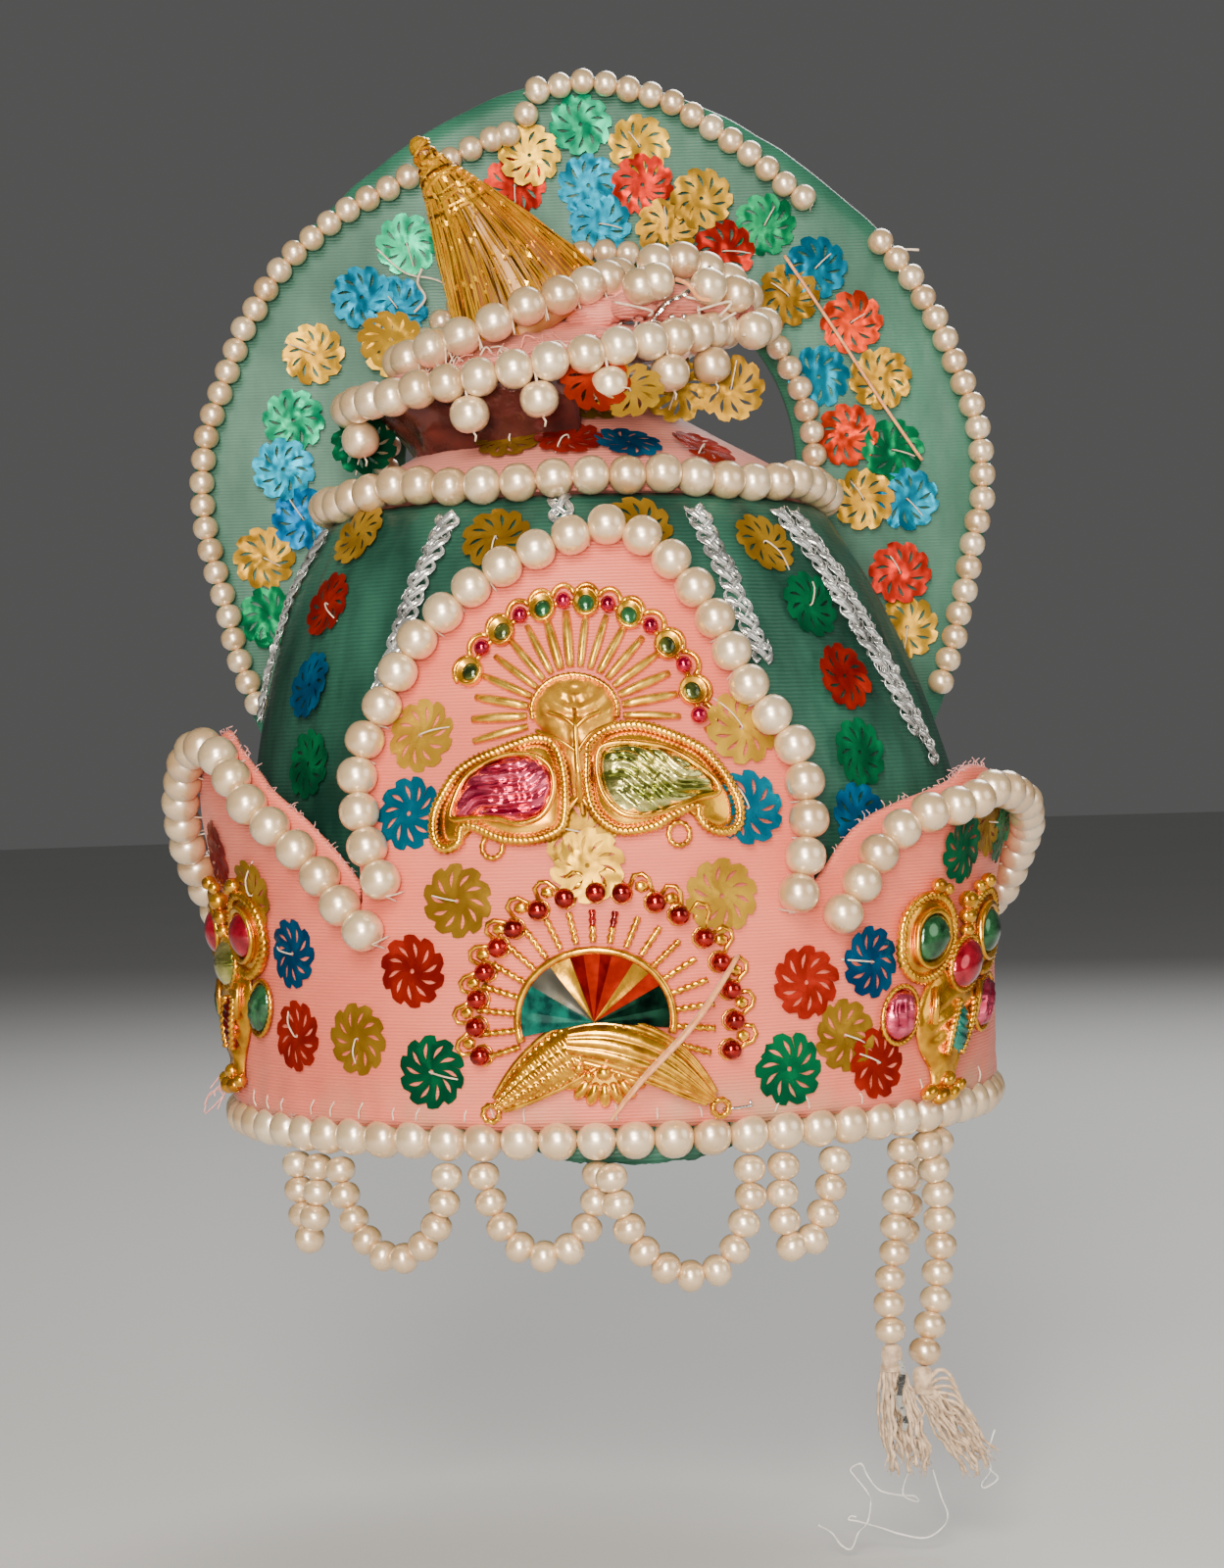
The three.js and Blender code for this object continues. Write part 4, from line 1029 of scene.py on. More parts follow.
def lump(part, centre, size, turn):
    """A crumpled lump of gathered cloth."""
    points = []
    for i in range(1, LUMP_ROWS):
        t = math.pi * i / LUMP_ROWS
        for angle in turns(LUMP_SIDES):
            a = angle + turn
            out = Vector((math.sin(t) * math.cos(a), math.sin(t) * math.sin(a), math.cos(t)))
            grow = 1 + 0.45 * noise.noise(out * 2.4 + centre * 0.3) + 0.2 * noise.noise(out * 6 + centre)
            points.append(centre + Vector((out.x * size.x, out.y * size.y, out.z * size.z)) * grow)
    faces = grid_faces(LUMP_ROWS - 1, LUMP_SIDES, wrap_columns=True)
    top = Vector((0, 0, size.z))
    close_ends(points, faces, LUMP_SIDES, centre + top, centre - top, inside_out=True)
    part.add(points, faces)


def cap_film_and_shade():
    """Crumpled dark film that hangs from the cap's left side towards the cone, and paints the shade in the
    gap under the cap.
    """
    part = Part()
    rows, columns = 12, 60
    points = []
    for i in range(rows):
        t = i / (rows - 1)
        for j in range(columns):
            azimuth = lerp(-150, 14, j / (columns - 1))
            crumple = 1.6 * rough(azimuth / 14, t * 2.2, 4) + 0.7 * rough(azimuth / 5, t * 5, 9)
            radius = lerp(CAP_RADIUS - 1.5, 28.0, t) + crumple
            points.append(CAP_FRAME @ around(azimuth, radius, -0.6 - 15 * t + 0.8 * crumple * t))
    part.add(points, grid_faces(rows, columns))
    part.build("cap_film_and_shade", [DARK_FILM_AND_SHADE], "gold_tinsel", thickness=0.25)


# ---- loops and strands under the rim ----
HANG_Z = -LARGE_PEARL / 2 - GAP
# loop: rim pearls it hangs between, depth, swing of its foot in degrees, and how far in front of
# the rim it starts and ends
LOOPS = [(-10.55, -9.6, 21.5, 0, 0, 0), (-8.6, -5, 23.5, 0.5, 0.5, 1.2), (-4.1, -1, 22.5, 0.7, -1.2, -2.2),
         (-0.7, 3, 27.0, 1.4, 3.0, 0), (4, 5.6, 23.5, -2.4, 0, 0)]
# strand: rim pearl it hangs from, height of its foot, how far it hangs inwards, sway and drift
STRANDS = [(8, -44.5, 0, -1.0, -3.6), (9, -50.5, 0, 4.2, -2.2), (10, -28.0, 8, 0, -2.4)]
HANG_STEPS, STRAND_STEPS = 32, 16


def rim_azimuth(number):
    return (number + 0.5) * 360 / RIM_PEARLS


def loop_points(start, stop, depth, swing, first, last):
    points = []
    for i in range(HANG_STEPS + 1):
        turn = math.pi * (1 - i / HANG_STEPS)
        across, down = (math.cos(turn) + 1) / 2, max(0.0, math.sin(turn))
        azimuth = lerp(rim_azimuth(start), rim_azimuth(stop), across) + swing * down
        forward = lerp(first, last, across) * (1 - 0.6 * down)
        points.append(around(azimuth, RIM_RADIUS + forward, HANG_Z - (depth + HANG_Z) * down))
    return points


def strand_points(pearl, bottom, inwards, sway, drift):
    points = []
    for i in range(STRAND_STEPS + 1):
        t = i / STRAND_STEPS
        azimuth = rim_azimuth(pearl) + sway * arch(t) + drift * smoothstep(t, 0.15, 1)
        radius = RIM_RADIUS - inwards * smoothstep(t, 0, 0.45)
        points.append(around(azimuth, radius, lerp(HANG_Z, bottom, t)))
    return points


def hanging_strings():
    for number, row in enumerate(LOOPS, 1):
        string_pearls(f"loop_{number}_pearls", loop_points(*row), "hanging", False, None,
                      [f"pearl_loop_{number}"], 0.2)
    for number, row in enumerate(STRANDS, 1):
        string_pearls(f"strand_{number}_pearls", strand_points(*row), "strand", False, None,
                      [f"pearl_strand_{number}"], 0.35)


# ---- satin shells ----
# The band's edge in four stretches, each with its columns in the frame's piece and its rows of
# (azimuth, height).
BAND_EDGE = [
    (34, [(-35.5, 51), (-38.2, 71), (-34.0, 86.5), (-28.8, 100.5), (-18.0, 110.7), (-5.0, 117.7),
          (2.0, 119.6), (10.2, 116), (18.8, 102.5), (22.5, 88), (28.6, 74.5), (29.0, 47.5)]),
    (18, [(29, 47.5), (38.5, 59.5), (51.5, 66), (61, 69.5), (81, 61.5), (101, 45)]),
    (12, [(101, 45), (180, 45), (259, 45)]),
    (18, [(259, 45), (278, 67), (296, 80.5), (302, 77.5), (314, 64.3), (324.5, 49)]),
]
FINE = 4                   # columns here for each of the frame's columns
UPRIGHT_ROWS, EDGE_ROWS = 16, 26


def pucker(azimuth, z):
    """Small hollows and folds of the satin between its stitches, in millimetres off the face."""
    place = noise_round(azimuth, 2.2, z / 38)
    soft = noise.noise(place * 1.6) * 0.35 + noise.noise(place * 5.0) * 0.16
    drag = 0.12 * math.sin(azimuth * 0.9 + 2.5 * noise.noise(place * 2)) * smoothstep(z, 22, 6)
    seam = -0.35 * math.exp(-((z - 8.6 - 0.5 * noise.noise(place * 3)) / 0.45) ** 2)
    return min(0.22, soft + drag) + seam


def band_shell():
    """The band's satin: rings of points from the hem up to the edge, over it and down the inside."""
    part = Part()
    rings = []
    for columns, rows in BAND_EDGE:
        edge = Route(spline(rows, 24))
        for i in range(columns * FINE):
            share = i / (columns * FINE)
            tip = edge.at(edge.length * share)[0]
            foot = lerp(rows[0][0], rows[-1][0], share)
            fray = 0.35 * rough(foot * 0.35, 3.1, 0)
            line = [(foot, lerp(HEM_Z, UPRIGHT_Z, k / UPRIGHT_ROWS)) for k in range(UPRIGHT_ROWS)]
            for k in range(EDGE_ROWS + 1):
                t = k / EDGE_ROWS
                line.append((lerp(foot, tip.x, t), lerp(UPRIGHT_Z, tip.y - 0.5 + fray, t)))
            face = [off_band(a, z, pucker(a, z)) for a, z in line]
            back = [off_band(a, z, -BAND_WALL) for a, z in line]
            lip = (face[-1] + back[-1]) / 2 + Vector((0, 0, 0.7))
            hem = (face[0] + back[0]) / 2 - Vector((0, 0, 2.3 + 2 * fray))
            rings.append(face + [lip] + back[::-1] + [hem])
    part.add([p for ring in rings for p in ring], grid_faces(len(rings), len(rings[0]), True, True))
    part.build("band_satin", [PINK], "pink_satin", ["band_shell"])


LINING_COLUMNS, LINING_ROWS = 60, 5


def band_lining():
    """A strip of green lining that shows under the rim at the front."""
    part = Part()
    points = []
    for j in range(LINING_COLUMNS + 1):
        share = j / LINING_COLUMNS
        azimuth = lerp(-12, 18, share)
        fray = 0.5 * rough(azimuth * 0.5, 1.7, 0) + 0.3 * rough(azimuth * 2.1, 5.2, 0)
        foot = -5.1 * arch(share) ** 0.35 + fray
        for k in range(LINING_ROWS + 1):
            t = k / LINING_ROWS
            radius = 79.6 - 0.8 * t + 0.2 * math.sin(azimuth * 0.8)
            points.append(around(azimuth, radius, lerp(3.4, foot, t)))
    part.add(points, grid_faces(LINING_COLUMNS + 1, LINING_ROWS + 1))
    part.build("band_lining", [GREEN], "green_satin", thickness=0.4)


def hem_stitches():
    """Stitches from the band's hem up over its face, near three in five of the rim's pearls."""
    part = Part()
    for i in range(RIM_PEARLS):
        if rng.random() < 0.4:
            continue
        azimuth = (i + rng.uniform(-0.3, 0.3)) * 360 / RIM_PEARLS
        top = rng.uniform(5.7, 7.4)
        slant = rng.uniform(-0.9, 0.9)
        path = [off_band(azimuth, HEM_Z - 0.6, 0.1), off_band(azimuth + slant * 0.4, 5.4, 0.45),
                off_band(azimuth + slant, top, -0.1)]
        tube(part, spline(path, 3), 0.17, 5)
    part.build("hem_stitches", [THREAD], "cream_thread")


def lathe(part, rows, segments, move, closed=True):
    """Turns rows of (radius, height) round the crown's axis, and moves each point by a function of
    the point and its azimuth."""
    points = []
    for r, z in rows:
        for j in range(segments):
            azimuth = j / segments * 360
            points.append(move(around(azimuth, r, z), azimuth))
    part.add(points, grid_faces(len(rows), segments, closed, True))


def thick_rows(profile, wall):
    """The inner face of a wall whose outer face is a profile, from its last row back to its first."""
    inner = []
    for i, (r, z) in enumerate(profile):
        a, b = profile[max(0, i - 1)], profile[min(len(profile) - 1, i + 1)]
        slope = Vector((b[0] - a[0], b[1] - a[1])).normalized()
        inner.append((r - slope.y * wall, z + slope.x * wall))
    return inner[::-1]


# The seams that the dome's gores meet at, all the way round and one more at each end.
SEAMS = [-102, -78, -42, -6, 27, 62, 98, 135, 165, 195, 225, 258, 282]


def gore(azimuth):
    """0 on a seam and 1 halfway between two of them."""
    a = azimuth - 360 if azimuth > 262 else azimuth
    for low, high in zip(SEAMS, SEAMS[1:]):
        if low <= a <= high:
            return arch((a - low) / (high - low))
    return 0.0


def dome_fold(point, azimuth):
    """The dome's satin sinks between its seams and drapes, but stays flat under pearls and band."""
    place = noise_round(azimuth, 2.4, point.z / 45)
    drape = 0.7 * noise.noise(place * 2.2) + 0.4 * rough(place.x * 7, place.y * 7, place.z * 2.5)
    sink = -0.8 * gore(azimuth) + drape
    free = smoothstep(point.z, 20, 60) * (1 - smoothstep(point.z, 118, 127))
    return leaned(point + radial(point) * min(0.3, sink) * free)


def dome_shell():
    outer = smooth_profile(DOME_PROFILE, 7)
    part = Part()
    lathe(part, outer + thick_rows(outer, DOME_WALL), 288, dome_fold)
    part.build("dome_satin", [GREEN], "green_satin", ["dome_shell"])


def cone_shell():
    outer = smooth_profile(CONE_PROFILE[:-1], 6) + [CONE_PROFILE[-1]]
    part = Part()

    def fold(point, azimuth):
        ripple = min(0.2, 0.5 * noise.noise(noise_round(azimuth, 2, point.z / 12)))
        return leaned(point + Vector((0, 0, ripple)) * smoothstep(point.xy.length, 4, 14))

    inner = [(max(0.2, r), z) for r, z in thick_rows(outer, DOME_WALL)]
    lathe(part, outer + inner, 144, fold)
    part.build("cone_satin", [PINK_PALE], "pink_satin", ["top_cone"])


def cutter(rows, name, closed=False):
    """A solid of revolution to cut the halo with."""
    part = Part()
    lathe(part, rows, 96, lambda point, _: leaned(point), closed)
    mesh = bpy.data.meshes.new(name)
    mesh.from_pydata([p * MM for p in part.points], [], part.faces)
    tool = bpy.data.objects.new(name, mesh)
    weld(mesh, 0.05)
    bpy.context.scene.collection.objects.link(tool)
    return tool


def cut_with(piece, tool):
    """Takes the tool's volume off the piece for good, and removes the tool."""
    cut = piece.modifiers.new("cut", "BOOLEAN")
    cut.object = tool
    cut.operation = "DIFFERENCE"
    cut.solver = "EXACT"
    depsgraph = bpy.context.evaluated_depsgraph_get()
    mesh = bpy.data.meshes.new_from_object(piece.evaluated_get(depsgraph))
    piece.modifiers.clear()
    old = piece.data
    piece.data = mesh
    bpy.data.meshes.remove(old)
    bpy.data.objects.remove(tool)


HALO_COLUMNS, HALO_ROWS = 268, 12


def halo_face(angle, outer, face, sign):
    """The halo's points at one angle, from its hole to its edge, a little uneven and soft-edged."""
    inside = halo_point(angle, HALO_HOLE_RADIUS, face, HALO_HOLE)
    outside = halo_point(angle, outer, face)
    points = []
    for k in range(HALO_ROWS + 1):
        t = k / HALO_ROWS
        point = inside.lerp(outside, t)
        on_edge = k in (0, HALO_ROWS)
        wave = 0.22 * rough(point.x / 14, point.z / 14, 2)
        point.y += sign * (0.45 if on_edge else wave)
        points.append(point)
    return points


def halo_plate():
    """The halo's satin, cut out where the dome, the cone and their ring of pearls stand in it."""
    part = Part()
    front, back = HALO_Y - HALO_THICK / 2, HALO_Y + HALO_THICK / 2
    rings = []
    for i in range(HALO_COLUMNS + 1):
        angle = lerp(-HALO_FOOT_ANGLE, HALO_FOOT_ANGLE, i / HALO_COLUMNS)
        outer = halo_radius(angle) + HALO_MARGIN + 0.3 * rough(angle * 0.2, 0, 5)
        edge = halo_point(angle, outer + 0.5, HALO_Y)
        hole = halo_point(angle, HALO_HOLE_RADIUS - 0.4, HALO_Y, HALO_HOLE)
        rings.append(halo_face(angle, outer, front, 1) + [edge]
                     + halo_face(angle, outer, back, -1)[::-1] + [hole])
    size = len(rings[0])
    faces = grid_faces(len(rings), size, False, True)
    faces.append(tuple(range(size - 1, -1, -1)))
    faces.append(tuple(range((len(rings) - 1) * size, len(rings) * size)))
    part.add([p for ring in rings for p in ring], faces)
    plate = part.build("halo_satin", [HALO_GREEN], "halo_satin", ["halo_plate"])
    grown = [(r + 0.3, z) for r, z in smooth_profile(DOME_PROFILE, 3)]
    grown += [(r + 0.3, z + 0.3) for r, z in CONE_PROFILE]
    cut_with(plate, cutter([(0.01, grown[0][1])] + grown + [(0.01, grown[-1][1])], "dome_cutter"))
    room = LARGE_PEARL / 2 + GAP
    ring = [(TIER_RADIUS + room * math.cos(t), TIER_Z + room * math.sin(t)) for t in turns(12)]
    cut_with(plate, cutter(ring, "tier_cutter", True))


CAP_SEGMENTS = 120


def cap_fold(point, azimuth):
    """The cap's satin ripples and is creased, but less towards its middle."""
    ripple = 0.7 * noise.noise(noise_round(azimuth, 2.4, point.z / 6))
    crease = -1.5 * abs(noise.noise(noise_round(azimuth, 4.2, point.xy.length / 16))) ** 0.8
    height = (min(0.25, ripple) + crease) * smoothstep(point.xy.length, 3, 12)
    return CAP_FRAME @ (point + Vector((0, 0, height)))


def cap_shell():
    """The cap's satin, lined with dark film."""
    part = Part()
    outer = smooth_profile(CAP_PROFILE, 6)
    inner = [(max(0.15, r), z) for r, z in thick_rows(outer, CAP_WALL)]
    lathe(part, outer + inner, CAP_SEGMENTS, cap_fold)
    part.numbers = [0 if i // CAP_SEGMENTS < len(outer) else 1 for i in range(len(part.faces))]
    part.build("cap_satin", [PINK_PALE, DARK_FILM_AND_SHADE], "pink_satin", ["cap_shell"])


# ---- flower sequins ----
# Distances on a sequin are shares of its radius, and angles are in degrees.
SEQUIN_RADIUS, PETALS, EYELET, HEART = 7.2, 10, 0.065, 0.30
SEQUIN_ROWS = [0.30, 0.38, 0.46, 0.55, 0.64, 0.72, 0.79, 0.90, 1.0]
HEART_ROWS = [EYELET, 0.16, HEART]
SLIT_START, SLIT_STOP, SLIT_HALF = 0.35, 0.78, 5.6
HALF_PETAL = 180 / PETALS


def sequin_template():
    """Rows of (radius, angle, petal) for a flower with a slit in each petal."""
    points, faces = [], []
    for petal in range(PETALS):
        middle = (2 * petal + 1) * HALF_PETAL
        base = len(points)
        for r in SEQUIN_ROWS:
            share = min(1.0, max(0.0, (r - SLIT_START) / (SLIT_STOP - SLIT_START)))
            slit = SLIT_HALF * arch(share ** 1.15)
            beside = (HALF_PETAL + slit) / 2
            for a in (-HALF_PETAL, -beside, -slit, slit, beside, HALF_PETAL):
                rim = 1 - 0.15 * abs(a / HALF_PETAL) ** 3.5 * smoothstep(r, 0.7, 1.0)
                points.append((r * rim, middle + a, petal))
        for i in range(len(SEQUIN_ROWS) - 1):
            for j in (0, 1, 3, 4):
                a = base + i * 6 + j
                faces.append((a, a + 6, a + 7, a + 1))
    base = len(points)
    count = PETALS * 2
    for r in HEART_ROWS:
        points.extend((r, k * HALF_PETAL, k // 2) for k in range(count))
    for i in range(len(HEART_ROWS) - 1):
        for k in range(count):
            a, b = base + i * count + k, base + i * count + (k + 1) % count
            faces.append((a, a + count, b + count, b))
    return points, faces


SEQUIN_POINTS, SEQUIN_FACES = sequin_template()


def add_sequin(part, spot, threads, lift=0.35, tilt=0.03, curl=0.0):
    """A sequin at a spot: turned, tilted and with its petals a little uneven, all by the seed.
    Some show the stitch that holds them."""
    start, swirl = rng.uniform(0, 360), rng.choice((-1, 1)) * 27
    lean = Vector((rng.uniform(-tilt, tilt), rng.uniform(-tilt, tilt)))
    # each sequin's base tone and its petals' tones: partly random, and partly painted glint, as if the
    # sequin and each petal caught the light differently
    base = rng.uniform(0.25, 0.8)
    waves = [(k, rng.uniform(0.1, 0.4) / k, rng.uniform(0, 360)) for k in (2, 3, 5)]
    tones = [min(1, max(0, base + rng.uniform(-0.22, 0.22))) for _ in range(PETALS)]
    bent = rng.randrange(PETALS)
    rise = lift + lean.length * SEQUIN_RADIUS * 0.7
    points, shades = [], []
    for r, angle, petal in SEQUIN_POINTS:
        outward = max(0.0, (r - HEART) / (1 - HEART))
        turn = math.radians(start + angle + swirl * outward)
        u, v = SEQUIN_RADIUS * r * math.cos(turn), SEQUIN_RADIUS * r * math.sin(turn)
        wave = sum(size * math.sin(math.radians(k * angle + shift)) for k, size, shift in waves)
        height = rise + lean.x * u + lean.y * v + outward * wave
        if petal == bent:
            height += curl * SEQUIN_RADIUS * outward ** 2
        points.append(spot(u, v, height))
        shades.append(tones[petal])
    part.add(points, SEQUIN_FACES, shades)
    if rng.random() < 0.6:
        turn = rng.uniform(0, 2 * math.pi)
        reach = SEQUIN_RADIUS * rng.uniform(0.7, 1.1)
        u, v = reach * math.cos(turn), reach * math.sin(turn)
        top = rise + 0.55
        stitch = at_spot(spot, [(0, 0, 0.1), (0, 0, top), (u / 2, v / 2, top + 0.4), (u, v, 0.05)])
        tube(threads, spline(stitch, 3), 0.16, 5)


def build_sequins(name, part, color, replaces=()):
    slot = SEQUIN_COLORS[color][2]
    part.build(name, [SEQUIN_LOOKS[color]], slot, replaces, False, thickness=0.09, merge=True, offset=-1.0)


def sequin_group(name, rows, place, lift, tilt, curl=0.1):
    """Rows of (two coordinates, colour): one piece for each colour, and one for the stitches."""
    parts, threads = {}, Part()
    for a, b, color in rows:
        part = parts.setdefault(color, Part())
        add_sequin(part, place(a, b), threads, rng.uniform(*lift), tilt, curl * rng.random())
    for color, part in parts.items():
        build_sequins(f"{name}_sequins_{color}", part, color)
    threads.build(f"{name}_sequin_stitches", [THREAD], "cream_thread")


# Rows of (azimuth, height, colour) on the band, the dome and the cone, and of (x, height, colour)
# on the halo and the cap. The frame has a piece for each row of the first list, in its order.
BAND_SEQUINS = [(-50, 36, "blue"), (-49.5, 19.5, "red"), (-37, 19.5, "gold"), (-27.5, 33, "red"),
                (-25, 13.5, "green"), (-20.5, 46.5, "gold"), (-28.2, 63.5, "cyan"), (-27.4, 78.6, "yellow"),
                (27, 28.5, "red"), (38, 31.5, "blue"), (33, 17.6, "gold"), (24, 12, "green"),
                (38.6, 11.6, "red")]
LOOSE_BAND_SEQUINS = [(19.4, 62.5, "cyan"), (15, 46, "yellow"), (20, 78, "yellow"), (-2.6, 52.6, "yellow"),
                      (-3.6, 59, "gold"), (-70, 56, "red"), (-58, 48, "gold"), (56.3, 53, "green"),
                      (72, 56, "green"), (64, 58, "gold")]
HALO_SEQUINS = [
    (-1.1, 218.2, "emerald"), (12.2, 212.9, "yellow"), (-12.9, 211.4, "yellow"), (-16.5, 204.8, "red"),
    (0.3, 204.3, "cyan"), (2.7, 195.3, "cyan"), (12.6, 203.9, "red"), (25.9, 200.2, "gold"),
    (17.8, 193.7, "gold"), (30.6, 188.1, "red"), (40.2, 194.1, "green"), (51.5, 183.7, "cyan"),
    (44.9, 177.6, "gold"), (59.2, 171.1, "orange"), (51.4, 159.1, "cyan"), (65.3, 158, "gold"),
    (57.3, 145.5, "orange"), (67.7, 141.8, "green"), (60.6, 130.8, "gold"), (70.7, 130.5, "cyan"),
    (68.4, 113.8, "red"), (69.8, 101.4, "gold"), (-41.5, 192.2, "emerald"), (-52, 180.2, "cyan"),
    (-44.2, 177.7, "cyan"), (-45.2, 168.8, "yellow"), (-63.5, 167.8, "yellow"), (-68.5, 152.8, "emerald"),
    (-71.1, 141.7, "cyan"), (-67, 130.3, "blue"), (-76.2, 121.7, "gold"), (-75.5, 108.2, "green")]
DOME_SEQUINS = [
    (-58.5, 120.6, "gold"), (-59.5, 106.6, "red"), (-57, 90, "blue"), (-52.5, 73.9, "green"),
    (-19.8, 117.4, "gold"), (8, 119, "gold"), (34.1, 115.7, "gold"), (39.9, 102.9, "green"),
    (42.6, 88, "red"), (42.3, 72.7, "green"), (39.9, 59.7, "blue")]
CONE_SEQUINS = [(-8, 138.2, "red"), (10, 137.6, "blue"), (33, 136.6, "red"), (-27, 138.4, "gold"),
                (0, 147, "gold")]
# cap group: its rows, how far back it is and how much that changes to the right, the way up along
# its faces, its lift and its tilt
CAP_SEQUINS = [
    ("cap_right", [(17.6, 150.8, "gold"), (29.1, 150.5, "gold")], (-20, -0.1), (0, 0, 1), (0.5, 2.5), 0.08),
    ("cap_front", [(0.6, 148.6, "orange"), (7.4, 146.5, "yellow")], (-47, 0), (0, 0.5, 0.87), (0.2, 1.5),
     0.1),
    ("cap_left", [(-49.8, 142.4, "green"), (-43.3, 164.7, "yellow")], (-8, 0), (0, 0.3, 0.95),
     (0.2, 1.0), 0.1)]


def sequins():
    threads = Part()
    for number, (azimuth, z, color) in enumerate(BAND_SEQUINS, 1):
        part = Part()
        add_sequin(part, band_spot(azimuth, z), threads, curl=0.12 * rng.random())
        build_sequins(f"sequin_{number}_foil", part, color, [f"sequin_{number}"])
    threads.build("band_sequin_stitches", [THREAD], "cream_thread")
    sequin_group("upper_band", LOOSE_BAND_SEQUINS, band_spot, (0.5, 1.5), 0.05)
    sequin_group("halo", HALO_SEQUINS, halo_spot, (0.4, 2.4), 0.08, 0.2)
    halo_knots()
    sequin_group("dome", DOME_SEQUINS, front_spot(DOME_PROFILE), (0.5, 1.2), 0.03)
    sequin_group("cone", CONE_SEQUINS, front_spot(CONE_PROFILE), (0.6, 1.4), 0.05)
    for name, rows, (y, slant), up, lift, tilt in CAP_SEQUINS:
        place = lambda x, z: tangent_spot(Vector((x, y + slant * x, z)), Vector((1, 0, 0)), Vector(up))
        sequin_group(name, rows, place, lift, tilt)


def halo_knots():
    """The stitches of the halo's sequins, where they come out at its back."""
    knots = Part()
    for x, z, _ in HALO_SEQUINS:
        turn, reach = rng.uniform(0, 6.28), rng.uniform(1.2, 2.6)
        rows = [(share * reach * math.cos(turn), share * reach * math.sin(turn), h)
                for share, h in ((-1, -0.4), (-0.7, 0.75), (0, 0.95), (0.7, 0.75), (1, -0.4))]
        bar(knots, halo_back_spot(x, z), rows, 0.22, 5)
    knots.build("halo_back_stitches", [THREAD], "cream_thread")


# ---- brooches ----
# Shapes here are in millimetres across and up a brooch's face from its own middle, with heights
# off the wall behind it.
def turned(spot, degrees):
    """The same spot with its own across and up turned, anticlockwise as seen from outside."""
    a = math.radians(degrees)
    return lambda u, v, h: spot(u * math.cos(a) - v * math.sin(a), u * math.sin(a) + v * math.cos(a), h)


def shifted(spot, u, v, height=0):
    """The same spot moved across, up and off the wall."""
    return lambda x, y, h: spot(u + x, v + y, height + h)


def polar(radius, angle, height=0):
    a = math.radians(angle)
    return radius * math.cos(a), radius * math.sin(a), height


def splayed(reach, more, angle):
    """A reach from the middle that is longer by more towards the two sides."""
    return reach + more * math.cos(math.radians(angle)) ** 2


def at_spot(spot, rows):
    return [spot(*row) for row in rows]


def bar(part, spot, rows, radius, sides=8):
    """A smooth bar along rows of (across, up, height)."""
    tube(part, at_spot(spot, rows), radius, sides)


def outline_rope(part, spot, outline, radius, height, pitch, closed=True):
    """A twisted wire along an outline of (across, up)."""
    rope(part, [spot(u, v, height) for u, v in outline], radius, pitch, closed=closed)


def field(part, spot, outline, base, rise, rows, ridges=None, material=0, power=0.6, centre=None):
    """A domed face filling an outline, with a flat back just below its edge. ridges may add a
    height that depends on the place, which fades out towards the edge."""
    outline = [Vector(p) for p in outline]
    middle = Vector(centre) if centre else sum(outline, Vector((0, 0))) / len(outline)
    back = base - 0.4
    points = [spot(p.x, p.y, back) for p in outline]
    for i in range(rows):
        share = 1 - i / rows
        for p in outline:
            q = middle + (p - middle) * share
            height = base + rise * (1 - share ** 2) ** power
            if ridges:
                height += ridges(q.x, q.y) * min(1.0, (1 - share) * 4 + 0.2)
            points.append(spot(q.x, q.y, height))
    faces = grid_faces(rows + 1, len(outline), wrap_columns=True)
    top = base + rise + (ridges(*middle) if ridges else 0)
    close_ends(points, faces, len(outline), spot(*middle, back), spot(*middle, top))
    part.add(points, faces, 0.5, material)


def oval(u, v, half_width, half_height, turn=0.0, steps=28):
    a = math.radians(turn)
    across, up = Vector((math.cos(a), math.sin(a))), Vector((-math.sin(a), math.cos(a)))
    return [Vector((u, v)) + across * (half_width * math.cos(t)) + up * (half_height * math.sin(t))
            for t in turns(steps)]


def ball(part, spot, u, v, height, radius, material=0):
    revolve(part, bead(radius, 9), shifted(spot, u, v, height), 14, material=material)


def balls(part, spot, rows, height):
    """Balls from rows of (across, up, radius), all at one height."""
    for u, v, radius in rows:
        ball(part, spot, u, v, height, radius)


def bezel(gold, gems, spot, u, v, radius, stone, height, material):
    """A little cup of gold with a domed stone in it."""
    place = shifted(spot, u, v, height)
    cup = [(radius * 0.95, 0), (radius, 0.6), (radius, 1.5), (radius * 0.93, 1.9), (radius * 0.82, 1.9),
           (stone * 1.04, 1.0)]
    revolve(gold, cup, place, 20)
    wide = stone * 1.02
    quarters = [i / 6 * math.pi / 2 for i in range(1, 6)]
    dome = [(wide, 0.7)] + [(wide * math.cos(t), 0.75 + 0.8 * math.sin(t)) for t in quarters]
    revolve(gems, dome, place, 18, rng.uniform(0.3, 0.7), material)


